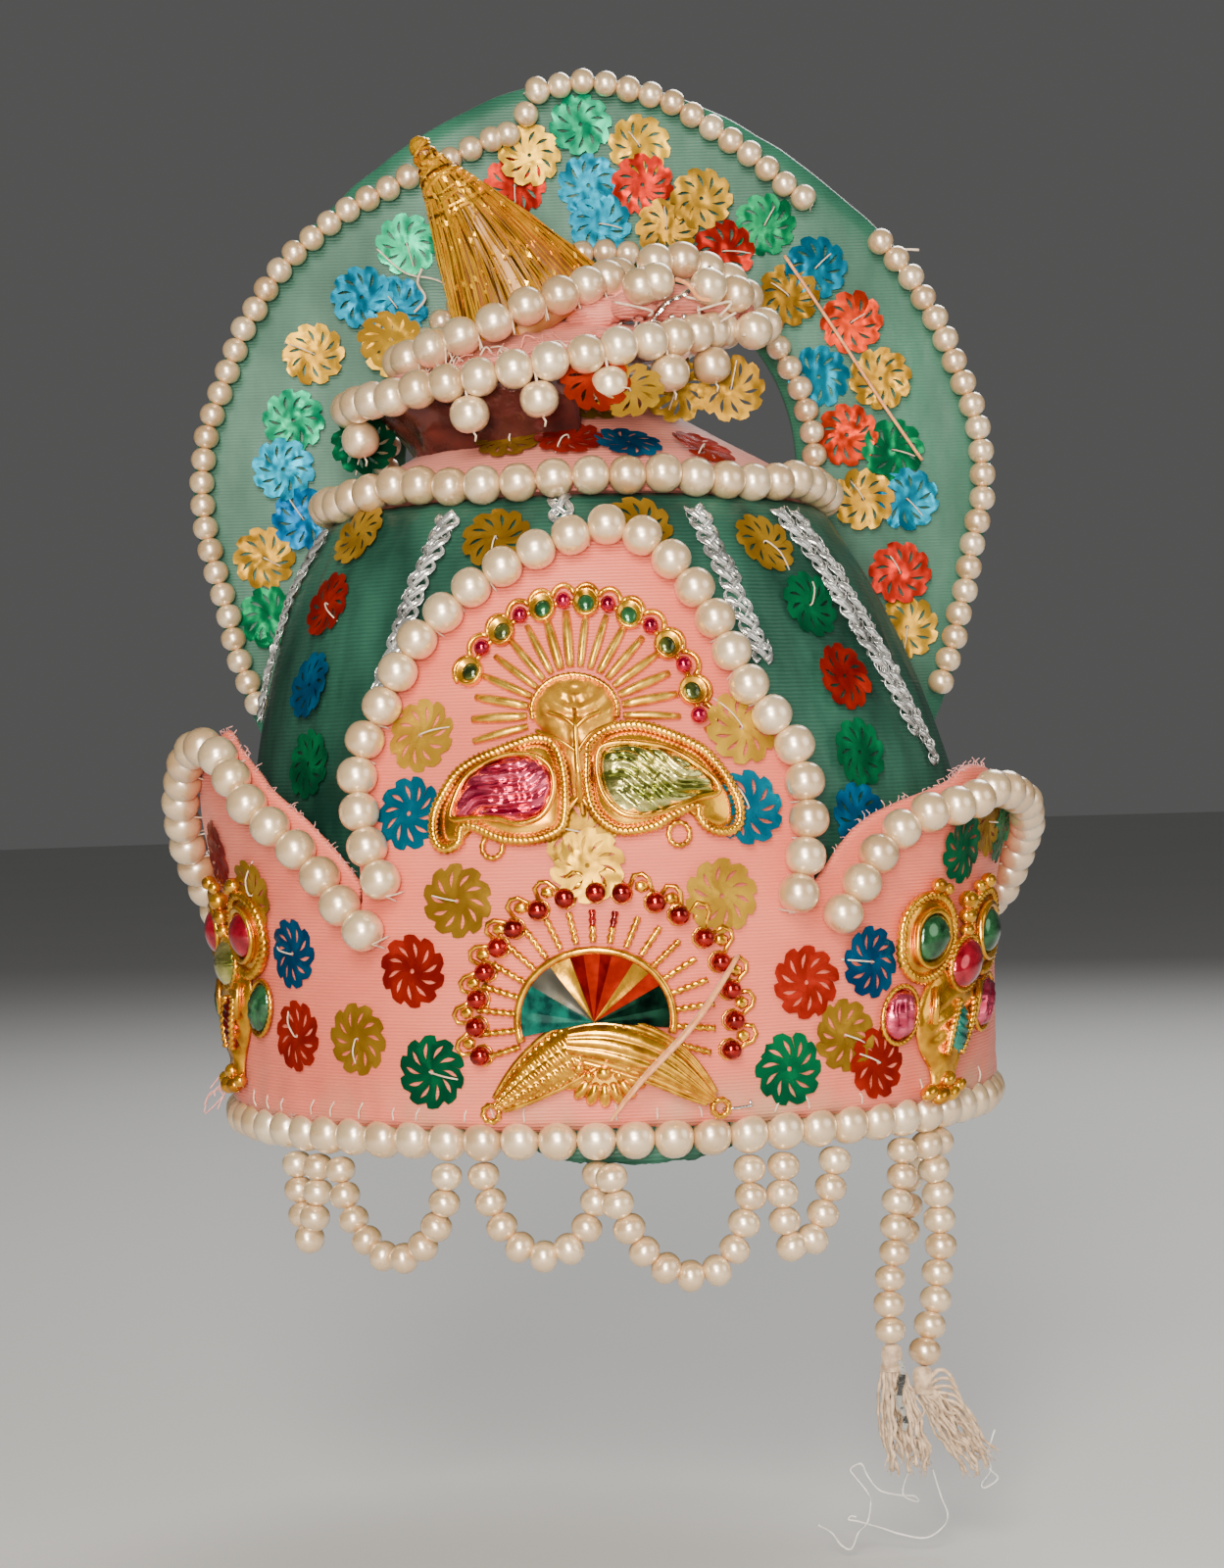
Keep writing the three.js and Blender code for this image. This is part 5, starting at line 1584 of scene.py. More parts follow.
FAN_RAYS, FAN_STEP, FAN_START = 17, 12.26, 195
FAN_GEMS, FAN_GEM_STEP, FAN_GEM_START = 7, 24.7, 159.3
SCALLOPS, SCALLOP_STEP = 14, 12.3
FAN_DOME = [(-7.9, -1.2), (-8.2, 1.6), (-6.8, 4.6), (-4.2, 6.6), (-0.4, 7.4), (3.6, 6.6), (6.6, 4.6),
            (8.0, 1.8), (8.0, -0.8), (5.4, -5.6), (3.2, -11.0), (2.4, -16.6), (0.2, -16.8), (-0.9, -11.0),
            (-3.6, -5.6)]
FAN_STEM = [(0.2, 0.2, 4.0), (0.5, -4, 4.0), (0.9, -10, 3.2), (1.6, -17.3, 2.2)]
FAN_TWIGS = [
    [(0.5, -3.4, 3.9), (-1.6, -1.6, 3.9), (-4.6, -0.2, 3.3)],
    [(0.6, -3.4, 3.9), (2.6, -1.4, 3.9), (4.9, -0.2, 3.3)],
    [(0.8, -8.0, 3.4), (-2.6, -5.6, 3.3), (-7.0, -3.6, 2.4)],
    [(0.9, -8.0, 3.4), (3.4, -4.4, 3.4), (7.8, -2.0, 2.4)],
    [(1.5, -15.8, 2.5), (0.2, -17.4, 2.2), (-1.0, -19.0, 1.6)],
    [(1.6, -15.8, 2.5), (2.6, -17.6, 2.2), (4.4, -18.8, 1.6)],
    [(1.6, -16.4, 2.5), (1.8, -18.0, 2.0), (2.0, -19.4, 1.5)]]
LEFT_PAISLEY = [(-3.5, -6.2), (-6.8, -4.9), (-10.1, -5.8), (-14.2, -7.4), (-18.3, -9.1), (-21.6, -11.5),
                (-23.7, -14.8), (-25.3, -18.5), (-25.5, -22.2), (-24.5, -25.1), (-22.5, -26),
                (-20.4, -24.7), (-20, -21.8), (-17.5, -21.8), (-12.6, -23.9), (-7.6, -24.3), (-3.5, -23.1),
                (-1.4, -20.6), (-1.5, -12.4)]
RIGHT_PAISLEY = [(2.7, -6.2), (5.2, -3.7), (9.3, -2.5), (13.4, -2.7), (18.7, -4.5), (23.7, -7),
                 (26.6, -10.3), (28.6, -13.6), (30, -17.3), (29.9, -21), (27.8, -22.7), (24.5, -22.2),
                 (22.5, -19.8), (22.3, -17.7), (17.5, -19.8), (14.6, -21.6), (9.3, -22.6), (6, -21.2),
                 (3.5, -18.1), (2.5, -13.2), (2.5, -9)]
LEFT_FOIL = [(-21.4, -18.6), (-19.6, -13.2), (-15.8, -10), (-11.6, -8.6), (-7.6, -8.8), (-4.9, -10.6),
             (-3.9, -13.4), (-4.2, -16.6), (-6.0, -19.6), (-9.4, -20.8), (-13.2, -20), (-17, -19.8),
             (-20.6, -20.2)]
RIGHT_FOIL = [(5.6, -7.4), (9, -6.4), (13, -6.6), (17, -7.4), (21, -9.6), (24.6, -12.6), (25.4, -15.2),
              (22.2, -16.2), (18.8, -17.6), (15.6, -18.8), (12.2, -19.4), (9, -18.8), (6.2, -15.8),
              (5, -11.2)]


def shrunk(outline, middle, share):
    return [middle + (p - middle) * share for p in outline]


def leaf_strokes(direction, spread=0.8, depth=0.6):
    """Long shallow creases that follow a paisley's length."""
    a = math.radians(direction)

    def ridges(u, v):
        along, across = u * math.cos(a) + v * math.sin(a), v * math.cos(a) - u * math.sin(a)
        bend = 1.4 * math.sin(along * 0.35)
        crush = 0.9 * rough(u * 0.8, v * 0.8, direction)
        return depth * (math.sin((across + bend) * 2.6 / spread + 0.6 * math.sin(along * 0.9)) + crush)
    return ridges


PAISLEY_LIFT = 0.6


def paisley(gold, gems, spot, rows, foil, material, direction):
    """A gold paisley with a twisted edge round a creased foil inlay."""
    edge, inner = spline(rows, 5, closed=True), spline(foil, 5, closed=True)
    middle = sum(inner, Vector((0, 0))) / len(inner)
    field(gold, spot, shrunk(edge, middle, 0.97), 1.0, 1.6, 7, centre=middle, power=0.35)
    outline_rope(gold, spot, edge, 1.0, 1.35 + PAISLEY_LIFT, 1.0)
    ring = [spot(u, v, 1.9 + PAISLEY_LIFT) for u, v in shrunk(inner, middle, 1.07)]
    tube(gold, ring, 0.62, 8, closed=True)
    field(gems, spot, inner, 1.6 + PAISLEY_LIFT, 2.0, 16, leaf_strokes(direction), material, centre=middle)


def fan_rays(rays, spot):
    """Plump rays that spread from the hub to the ring of stones."""
    for k in range(FAN_RAYS):
        angle = FAN_START - FAN_STEP * k
        width = rng.uniform(0.72, 0.92)
        rows = [polar(lerp(9.2, 20.2, i / 5), angle, 0.75 + 0.25 * arch(i / 5)) for i in range(6)]
        bar(rays, spot, rows, lambda t, w=width: w * (0.72 + 0.45 * arch(min(1, t * 0.8 + 0.12))))


def fan_rim(gold, gems, spot):
    """Stones in cups with a pink bead after each, and scalloped wire round them."""
    for k in range(FAN_GEMS):
        angle = FAN_GEM_START - FAN_GEM_STEP * k
        u, v, _ = polar(splayed(21.7, 1.7, angle), angle)
        bezel(gold, gems, spot, u, v, 2.85, 1.75, 0.3, 1 if k in (0, 1, 5, 6) else 0)
        angle -= FAN_GEM_STEP / 2
        u, v, _ = polar(splayed(21.9, 1.7, angle), angle)
        ball(gems, spot, u, v, 0.4, 1.65, 2)
    first = FAN_GEM_START + SCALLOP_STEP + 6
    for k in range(1, SCALLOPS + 1):
        rows = []
        for i in range(9):
            t = i / 8
            angle = first - SCALLOP_STEP * (k + t)
            rows.append(polar(splayed(23.6, 1.6, angle) + 2.0 * arch(t) ** 0.7, angle, 0.6))
        bar(gold, spot, rows, 0.62, 7)
    bar(gold, spot, [polar(splayed(22.2, 1.7, a), a, 0.35) for a in range(164, -6, -5)], 0.62, 7)


def fan_hub(gold, hub, spot):
    """The pressed dome in the middle, with a twisted edge over it and a stem with twigs."""
    def veins(u, v):
        return (0.30 * math.sin(math.hypot(u, v - 6) * 2.4) + 0.12 * math.sin(u * 3.1 + v)
                + 0.35 * rough(u * 0.55, v * 0.55, 3))

    field(hub, spot, spline(FAN_DOME, 4, closed=True), 0.9, 2.6, 12, veins, centre=(0, -0.5))
    outline_rope(gold, spot, spline(FAN_DOME[:9], 6), 0.6, 1.4, 1.0, closed=False)
    bar(gold, spot, FAN_STEM, lambda t: lerp(0.42, 0.8, t))
    for rows in FAN_TWIGS:
        bar(gold, spot, spline(rows, 5), 0.45)


def fan_brooch():
    """The upper front brooch: a fan of rays and stones over two paisleys."""
    spot = turned(band_spot(-4, 81.6), -1.8)
    gold, gems, hub, rays = Part(), Part(), Part(), Part()
    fan_rays(rays, spot)
    fan_rim(gold, gems, spot)
    fan_hub(gold, hub, spot)
    paisley(gold, gems, spot, LEFT_PAISLEY, LEFT_FOIL, 3, 25)
    paisley(gold, gems, spot, RIGHT_PAISLEY, RIGHT_FOIL, 4, -22)
    for u, v in ((-14.3, -25.4), (19, -23.0)):
        outline_rope(gold, spot, oval(u, v, 1.9, 2.2), 0.55, 1.0, 1.2)
    gold.build("fan_brooch_gold", [GOLD], "gold_metal", ["brooch_fan"])
    hub.build("fan_brooch_hub", [PRESSED_GOLD], "gold_metal")
    # the rays' gold is a lighter copy of the stamped gold: painted highlight
    rays.build("fan_brooch_rays", [LIT_RAY_GOLD], "gold_metal")
    gems.build("fan_brooch_stones", [EMERALD_STONE, MOSS_STONE, PINK_BEAD, MAGENTA, OLIVE], "gem")


# sector of the big stone: the angles where it starts and ends, and its look
STONE_SECTORS = [(192, 172, 0), (172, 150, 1), (150, 128, 2), (128, 110, 3), (110, 98, 4), (98, 84, 5),
                 (84, 74, 4), (74, 55, 5), (55, 40, 3), (40, 27, 5), (27, 8, 6), (8, -8, 6)]


LEAF_ROWS, LEAF_COLUMNS = 90, 33


def swag_leaf(part, spot, line, half_width, base, beaded):
    """A drooping leaf along a line of (across, up): long ridges side by side, beaded or plain."""
    route = Route(spline([(u, v, 0) for u, v in line], 40))
    points, rims = [], ([], [])
    for i in range(LEAF_ROWS):
        t = i / (LEAF_ROWS - 1)
        centre, along = route.at(route.length * t)
        side = Vector((-along.y, along.x, 0)) * half_width * arch(0.16 + 0.80 * t ** 0.9) ** 0.7
        for j in range(LEAF_COLUMNS):
            s = j / (LEAF_COLUMNS - 1) * 2 - 1
            p = centre + side * s
            ridge = abs(math.cos(2 * math.pi * s)) ** 0.7
            bead_wave = 0.5 + 0.5 * math.sin(t * route.length * 4.4 + 2 * s)
            height = base + 1.9 * (1 - abs(s) ** 2.4) + 0.75 * ridge * (bead_wave if beaded else 0.7)
            if j in (0, LEAF_COLUMNS - 1):
                height = base - 0.5
            points.append(spot(p.x, p.y, height))
        if i % 2 == 0:
            for rim, p in zip(rims, (centre - side, centre + side)):
                rim.append(spot(p.x, p.y, base + 0.3))
    part.add(points, grid_faces(LEAF_ROWS, LEAF_COLUMNS))
    for rim in rims:
        tube(part, rim, 0.62, 6)


SWAG_APEX, SWAG_RIM = 6.4, 1.3
SWAG_ROPES, SWAG_ROPE_STEP = 19, 11.9
SWAG_BEADS, SWAG_BEAD_STEP = 17, 13.1
SWAG_SHIFT = 0.6           # the ring of beads sits a little to the right
SWAG_KNOBS = [(1.4, -9.6, 1.5), (-1.4, -10.2, 1.0), (4.2, -10.2, 1.0), (-3.2, -8.6, 1.1), (6, -8.8, 1.1)]


def swag_edge(angle):
    return 14.0 - 1.5 * math.sin(math.radians(angle)) ** 2


def swag_stone(gems, spot):
    """The big half-round stone, in sectors of foil with a crease along each, and its skirt."""
    rings = 9
    for high, low, material in STONE_SECTORS:
        steps = max(2, round((high - low) / 3))
        points = []
        for i in range(rings):
            t = i / (rings - 1)
            for k in range(steps + 1):
                angle = lerp(high, low, k / steps)
                crease = -0.22 * arch(k / steps) * arch(t)
                height = lerp(SWAG_APEX, SWAG_RIM + 0.5, t ** 0.8) + crease
                points.append(spot(*polar(max(0.05, swag_edge(angle) * t), angle, height)))
        gems.add(points, grid_faces(rings, steps + 1), 0.5, material)
    angles = range(192, -9, -5)
    skirt = [spot(*polar(swag_edge(a), a, height)) for height in (SWAG_RIM - 0.9, SWAG_RIM + 0.5)
             for a in angles]
    gems.add(skirt, grid_faces(2, len(angles)), 0.5, 3)


def swag_ropes(gold, gems, spot):
    """Twisted wires that stand out round the stone. Two of them are red at their outer end."""
    for k in range(SWAG_ROPES):
        angle = 197 - SWAG_ROPE_STEP * k
        rows = [spot(*polar(lerp(15.2, splayed(21.4, 1.5, angle), i / 6), angle, 0.9)) for i in range(7)]
        if k in (9, 10):
            rope(gems, rows[3:], 0.62, 1.5, material=7)
            rope(gold, rows[:4], 0.68, 1.5)
        else:
            rope(gold, rows, 0.66, 1.5)


def swag_fringe(gold, gems, spot):
    """Red beads in rings, and between each two of them a pointed loop with a small plate in it."""
    angles = [195 - SWAG_BEAD_STEP * k for k in range(SWAG_BEADS)]
    reach_of = lambda a: 23.4 + 2.4 * (1 + math.cos(math.radians(a))) / 2
    for angle in angles:
        u, v, _ = polar(reach_of(angle), angle + rng.uniform(-1, 1))
        ball(gems, spot, u, v, 0.3, 1.95, 7)
        bar(gold, shifted(spot, u, v), [polar(2.0, math.degrees(i * 0.7), 0.4) for i in range(10)], 0.3, 6)
    for a, b in zip(angles, angles[1:]):
        inner = reach_of(a) + 1.6
        middle = (a + b) / 2
        outer = reach_of(middle) + 4.6 + rng.uniform(-0.3, 0.4)
        loop = [polar(inner, a - 2, 0.5), polar(outer - 0.7, a - 2.4, 0.9), polar(outer, middle + 1.2, 1.1),
                polar(outer - 0.5, middle - 1.5, 1.0), polar(inner + 1.2, b + 3.2, 0.6),
                polar(inner, b + 1, 0.5)]
        bar(gold, spot, loop, 0.52, 5)
        u, v, _ = polar(outer - 2.3, middle)
        plate = [(u + 1.5 * math.cos(t + 0.4), v + 1.3 * math.sin(t + 0.4)) for t in turns(6)]
        field(gold, spot, plate, 0.5, 0.5, 3)


def swag_flower(gold, spot):
    """Petals and knobs that hang below the stone."""
    field(gold, spot, oval(1.4, -10.4, 8.0, 4.0, steps=36), 0.6, 1.0, 5)
    for angle in range(190, 370, 20):
        u, v, _ = polar(5.0, angle)
        field(gold, spot, oval(1.4 + u * 1.25, -8.8 + v, 2.7, 1.35, angle, 16), 0.9, 1.3, 5)
    balls(gold, spot, SWAG_KNOBS, 1.6)


def swag_brooch():
    """The lower front brooch: a half-round stone in a fringe, over two drooping leaves."""
    spot = band_spot(-2.2, 22.9)
    gold, gems = Part(), Part()
    raised, beside = shifted(spot, 0, 0.4), shifted(spot, SWAG_SHIFT, 0)
    swag_stone(gems, raised)
    bar(gold, raised, [polar(swag_edge(a) + 0.8, a, 1.2) for a in range(196, -13, -4)], 0.85)
    swag_ropes(gold, gems, spot)
    swag_fringe(gold, gems, beside)
    swag_flower(gold, spot)
    swag_leaf(gold, spot, [(6, -2.4), (-1.5, -3.8), (-10, -8.8), (-19, -15.6)], 5.2, 1.5, True)
    swag_leaf(gold, spot, [(-5, -3.4), (3, -4.2), (12.2, -7.9), (21.4, -15.4)], 4.9, 2.5, False)
    for u, v in ((-20.6, -17.2), (23.4, -17.4)):
        outline_rope(gold, spot, oval(u, v, 1.6, 1.6, steps=18), 0.6, 1.0, 1.2)
    gold.build("swag_brooch_gold", [ROPE_GOLD], "gold_metal", ["brooch_swag"])
    stones = [TEAL_STONE, TEAL_STONE, SILVER_GOLD, GOLD, DARK_RED_STONE, BRIGHT_RED_STONE,
              DARK_GREEN_STONE, RED_BEAD]
    gems.build("swag_brooch_stones", stones, "gem")


SHELL_OUTLINE = [(-6, 3), (-9, -2), (-10, -8), (-7.5, -14), (-3.5, -18.5), (-1.5, -23.5), (3.5, -23.5),
                 (4.5, -18), (8, -12), (10, -5), (8, 2), (0, 6)]
SHELL_BARS = [[(-7.6, -1.6, 2.6), (-7.4, -5, 2.9), (-6.8, -9, 2.6)],
              [(7.4, -1.6, 2.6), (7.2, -5, 2.9), (6.4, -9, 2.6)]]
SHELL_KNOBS = [(-4.6, -22.4, 1.7), (-1.4, -23.4, 1.9), (2.0, -23.2, 1.7), (5.0, -22.0, 1.4),
               (0.4, -20.4, 1.6)]


def side_eye(gold, gems, spot, side):
    """One side of a side brooch: a round bezel, a drop with creases and two balls over them."""
    u, v = 10.6 * side, 8.5
    rings = lambda x, y: 0.12 * math.sin(math.hypot(x - u, y - v) * 4)
    field(gold, spot, oval(u, v, 7.4, 8.2), 1.0, 1.2, 6, rings)
    outline_rope(gold, spot, oval(u, v, 7.6, 8.4, steps=40), 1.0, 1.5, 1.3)
    outline_rope(gold, spot, oval(u, v, 4.9, 5.7, steps=32), 0.7, 2.7, 30)
    field(gems, spot, oval(u, v, 4.3, 5.0), 2.3, 2.6, 8)
    drop, slant = 14.6 * side, -18 * side
    field(gems, spot, oval(drop, -6.5, 3.7, 5.2, slant), 1.1, 1.9, 8, leaf_strokes(80, 0.9, 0.3), 2)
    outline_rope(gold, spot, oval(drop, -6.5, 4.3, 5.8, slant), 0.5, 1.2, 1.2)
    ball(gold, spot, 9.5 * side, 19, 0.4, 1.6)
    ball(gold, spot, 6.2 * side, 18, 0.3, 1.3)


def side_brooch(name, node, azimuth, z, spread, slide, stones):
    """Two round bezels over a stone, two drops, a striped leaf and a gold shell that ends in knobs.
    The stones are the looks of the bezels, the stone in the middle, the drops and the leaf."""
    face = band_spot(azimuth, z)
    spot = lambda u, v, h: face(u * spread + slide * min(0.0, v - 8), v, h)
    gold, gems = Part(), Part()
    waves = lambda u, v: 0.4 * math.sin(v * 1.5 + 0.105 * u * u)
    field(gold, spot, spline(SHELL_OUTLINE, 4, closed=True), 0.9, 2.0, 8, waves, centre=(0, -7))
    for side in (-1, 1):
        side_eye(gold, gems, spot, side)
    for v, height, radius in ((15.6, 0.6, 2.0), (12.2, 0.9, 1.8), (9.2, 1.2, 1.5)):
        ball(gold, spot, 0, v, height, radius)
    field(gems, spot, oval(1, 2.4, 4.9, 5.2), 2.4, 3.0, 9, material=1)
    outline_rope(gold, spot, oval(1, 2.4, 5.2, 5.5, steps=32), 0.6, 2.6, 1.3)
    stripes = lambda u, v: 0.3 * math.sin((v + 0.4 * u) * 3.6)
    field(gems, spot, oval(1.5, -10.2, 2.5, 5.8, 14), 2.4, 1.5, 8, stripes, 3)
    for side in (-1, 1):
        line = [(2.7 + side * 2.7, -4.8, 3.0), (1.5 + side * 3.1, -10, 3.3), (0.7 + side * 2.2, -15.6, 2.8)]
        rope(gold, at_spot(spot, spline(line, 6)), 0.75, 1.3)
    for rows in SHELL_BARS:
        bar(gold, spot, rows, 0.8)
    balls(gold, spot, SHELL_KNOBS, 0.6)
    gold.build(f"{name}_gold", [GOLD], "gold_metal", [node])
    gems.build(f"{name}_stones", stones, "gem")


def brooches():
    fan_brooch()
    swag_brooch()
    side_brooch("right_brooch", "brooch_right", 58, 27, 1.18, 0.33,
                [EMERALD_STONE, RUBY, MAGENTA, TEAL_STONE])
    side_brooch("left_brooch", "brooch_left", -69.5, 31, 1.08, 0,
                [RUBY, OLIVE, EMERALD_STONE, RED_BEAD])


# ---- foil braids ----
# Each braid that is a piece of the frame: azimuth at its foot and at its top, and the height of
# its foot.
BRAIDS = [(-84, -70, 84), (-36, -26.5, 88), (29, 25.5, 91), (60, 48, 76), (135, 135, 50), (165, 165, 50),
          (195, 195, 50), (225, 225, 50)]


BRAID_PITCH, BRAID_STEP = 9.2, 0.45


def foil_braid(name, low, high, foot, top, replaces=(), swing=2.0):
    """Three flat ribbons of film plaited in open loops, with a few loose curls beside them."""
    part = Part()
    length = top - foot
    steps = max(16, int(length / BRAID_STEP))
    place = lambda t: dome_spot(lerp(low, high, t), lerp(foot, top, t))
    for strand in range(3):
        wander = rng.uniform(0, 9)
        points, outs = [], []
        for i in range(steps + 1):
            t = i / steps
            phase = 2 * math.pi * (t * length / BRAID_PITCH + strand / 3)
            loose = 1 + 0.4 * rough(t * length / 6, wander, 0)
            roll = 0.9 * math.cos(phase) + 0.8 * rough(t * length / 3, wander, 7)
            spot = place(t)
            points.append(spot(swing * loose * math.sin(phase), 0, 1.05 + 0.5 * math.sin(2 * phase + 0.4)))
            outs.append(spot(math.sin(roll), 0, math.cos(roll)) - spot(0, 0, 0))
        tube(part, points, lambda s: 0.72 + 0.16 * math.sin(s * length * 0.9 + strand * 2), flat=0.2,
             up=lambda i: outs[i], tone=rng.random())
        for side in (-1, 1):
            edge = []
            for i, p in enumerate(points):
                along = (points[min(i + 1, steps)] - points[max(i - 1, 0)]).normalized()
                edge.append(p + along.cross(outs[i]) * 0.66 * side)
            tube(part, edge, 0.13, 4, tone=1.0)
    for _ in range(int(length / 5)):
        spot = place(rng.random())
        middle = rng.choice((-1, 1)) * rng.uniform(1.2, 2.2)
        turn, size = rng.uniform(0, 6.28), rng.uniform(0.7, 1.4)
        curl = []
        for k in range(8):
            a = turn + k * 0.7
            curl.append(spot(middle + size * math.cos(a), size * 1.3 * math.sin(a), 0.5 + 0.12 * k))
        tube(part, curl, 0.2, 4, flat=0.5, tone=rng.random())
    part.build(name, [BRAID_FILM], "silver_foil", replaces)


def braids():
    for number, (low, high, foot) in enumerate(BRAIDS, 1):
        foil_braid(f"silver_braid_{number}", low, high, foot, BRAID_TOP, [f"foil_braid_{number}"])
    foil_braid("silver_braid_right_pair", 64, 53.5, 70, BRAID_TOP, swing=1.4)
    foil_braid("silver_braid_short", -1, -3, 114.5, 125.5, swing=2.2)


# ---- finial ----
TINSEL_RADIUS, TINSEL_TIP = 16.8, 2.1
TINSEL_AXIS = leaning_axis(22.3)
TINSEL_BUNDLES, TINSEL_STRANDS, TINSEL_RINGS, TINSEL_CHIPS = 18, 12, 16, 420
CORE_SIDES = 40


def finial_place(turn, radius, along):
    """A point by its turn in degrees round the tinsel's axis, its distance from it and its height."""
    side = TINSEL_AXIS.cross(Vector((0, 1, 0))).normalized()
    other = TINSEL_AXIS.cross(side)
    a = math.radians(turn)
    foot = FINIAL_FOOT + Vector((2.7, 0, 0))
    return CAP_FRAME @ (foot + TINSEL_AXIS * along + (side * math.cos(a) + other * math.sin(a)) * radius)


def finial_radius(along):
    return max(TINSEL_TIP, TINSEL_RADIUS * (1 - along / (FINIAL_HEIGHT + 3)) + 0.2)


def finial_core():
    core = Part()
    rows = [(0.9, FINIAL_HEIGHT + 1.8), (1.7, FINIAL_HEIGHT + 0.8)]
    rows += [(finial_radius(a) - 0.35, a) for a in [FINIAL_HEIGHT * i / 16 for i in range(15, -1, -1)]]
    rows += [(FINIAL_RADIUS + 1.0, -3.0), (FINIAL_RADIUS + 0.9, -6.5)]
    points = [finial_place(j * 360 / CORE_SIDES, r, a) for r, a in rows for j in range(CORE_SIDES)]
    faces = grid_faces(len(rows), CORE_SIDES, wrap_columns=True)
    faces += [tuple(range(CORE_SIDES - 1, -1, -1)), tuple(range(len(points) - CORE_SIDES, len(points)))]
    core.add(points, faces)
    return core


def tinsel_strands(tinsel, dark):
    """Bundles of fine strands that run down the finial, each with a slant and kinks of its own."""
    for bundle in range(TINSEL_BUNDLES):
        turn = bundle * 360 / TINSEL_BUNDLES + rng.uniform(-4, 4)
        drift = rng.uniform(-46, -14)
        tight = rng.uniform(1.3, 2.1)
        for k in range(TINSEL_STRANDS):
            offset = (k - (TINSEL_STRANDS - 1) / 2) * tight + rng.uniform(-0.8, 0.8)
            start, stop = FINIAL_HEIGHT - rng.uniform(0.5, 5), rng.uniform(-5.5, -1)
            rise = rng.uniform(-0.2, 1.0)
            kink, where = rng.uniform(-2.5, 2.5), rng.uniform(0.2, 0.8)
            line = []
            for i in range(17):
                t = i / 16
                along = lerp(start, stop, t)
                bend = kink * math.exp(-((t - where) / 0.12) ** 2)
                reach = min(finial_radius(along), FINIAL_RADIUS + 1) + rise * arch(t) - 0.1
                line.append(finial_place(turn + offset * (0.7 + 0.6 * t) + drift * t + bend, reach, along))
            width = rng.uniform(0.14, 0.42)
            # a fifth of the strands are dark: painted shade of the grooves between strands
            part = dark if rng.random() < 0.2 else tinsel
            tube(part, line, lambda t, w=width: w * (0.75 + 0.35 * math.sin(t * 23 + w * 90)), 4, flat=0.5,
                 tone=rng.random())


def tinsel_rings(tinsel, dark):
    """Strands wound round the finial towards its tip, and the tip's own cap."""
    for k in range(TINSEL_RINGS):
        line = []
        centre = FINIAL_HEIGHT - 0.4 - 0.95 * k + rng.uniform(-0.3, 0.3)
        slope, phase = rng.uniform(0.6, 2.6), rng.uniform(0, 6.28)
        for turn in range(0, 375, 15):
            along = centre + slope * math.sin(math.radians(turn) + phase)
            line.append(finial_place(turn, finial_radius(along) + 0.1 + rng.uniform(0, 0.35), along))
        # every fourth wrap is dark: painted shade between the wraps
        tube(dark if k % 4 == 3 else tinsel, line[:-1], rng.uniform(0.25, 0.5), 5, closed=True,
             tone=rng.random())
    tip = [finial_place(turn, r, FINIAL_HEIGHT + a) for r, a in ((2.5, 0.0), (2.1, 1.6), (1.0, 2.7))
           for turn in range(0, 360, 30)]
    tinsel.add(tip, grid_faces(3, 12, wrap_columns=True) + [tuple(range(24, 36))])


def tinsel_chips(tinsel):
    """Small flakes that stand off the strands."""
    for _ in range(TINSEL_CHIPS):
        along, turn = rng.uniform(-4, FINIAL_HEIGHT - 2), rng.uniform(0, 360)
        r = min(finial_radius(along), FINIAL_RADIUS + 1) + rng.uniform(0.4, 1.0)
        size = rng.uniform(0.25, 0.85)
        chip = []
        for a in (0.3, 1.8, 3.4, 4.9):
            across = math.degrees(size * 0.6 / r) * math.cos(a)
            reach = r + rng.uniform(-0.25, 0.3)
            chip.append(finial_place(turn + across, reach, along + size * 1.3 * math.sin(a)))
        tinsel.add(chip, [(0, 1, 2, 3)], rng.random())


def finial():
    tinsel, dark = Part(), Part()
    tinsel_strands(tinsel, dark)
    tinsel_rings(tinsel, dark)
    tinsel_chips(tinsel)
    finial_core().build("finial_core", [BEIGE_FOIL], "gold_tinsel", ["finial_cone"])
    tinsel.build("finial_tinsel", [TINSEL], "gold_tinsel", smooth=False)
    # the dark strands are painted shade of the finial's grooves
    dark.build("finial_groove_shade_tinsel", [GROOVE_SHADE_TINSEL], "gold_tinsel", smooth=False)


# ---- tassels and loose threads ----
def crinkled(part, start, end, radius, bow, wave):
    """A crinkled thread from start to end that bows out on its way and frays at its end."""
    length = (end - start).length
    steps = max(8, int(length / 0.8))
    phase = rng.uniform(0, 9)
    points = []
    for i in range(steps + 1):
        t = i / steps
        shake = Vector([rough(t * length / 3.2, phase, k) for k in (1, 5, 9)])
        points.append(start.lerp(end, t) + bow * arch(t) + shake * wave * smoothstep(t, 0, 0.3))
    width = lambda t: radius * (1 - 0.35 * t) * (1 + 0.2 * math.sin(t * 40 + phase))
    tube(part, points, width, 5, flat=0.7, tone=rng.random())
    along = (points[-1] - points[-3]).normalized()
    for _ in range(2):
        spread = Vector([rng.uniform(-1, 1) for _ in range(3)])
        a = points[-2] + spread * radius * 0.4
        b = a + along * rng.uniform(0.8, 2.0) + spread * 0.7
        tube(part, [a, a.lerp(b, 0.5) + spread * 0.2, b], 0.11, 4)


TASSEL_COLLAR = [(1.0, 0), (1.9, 0.6), (2.2, 2.0), (2.0, 3.4), (2.3, 4.6), (1.8, 5.4)]


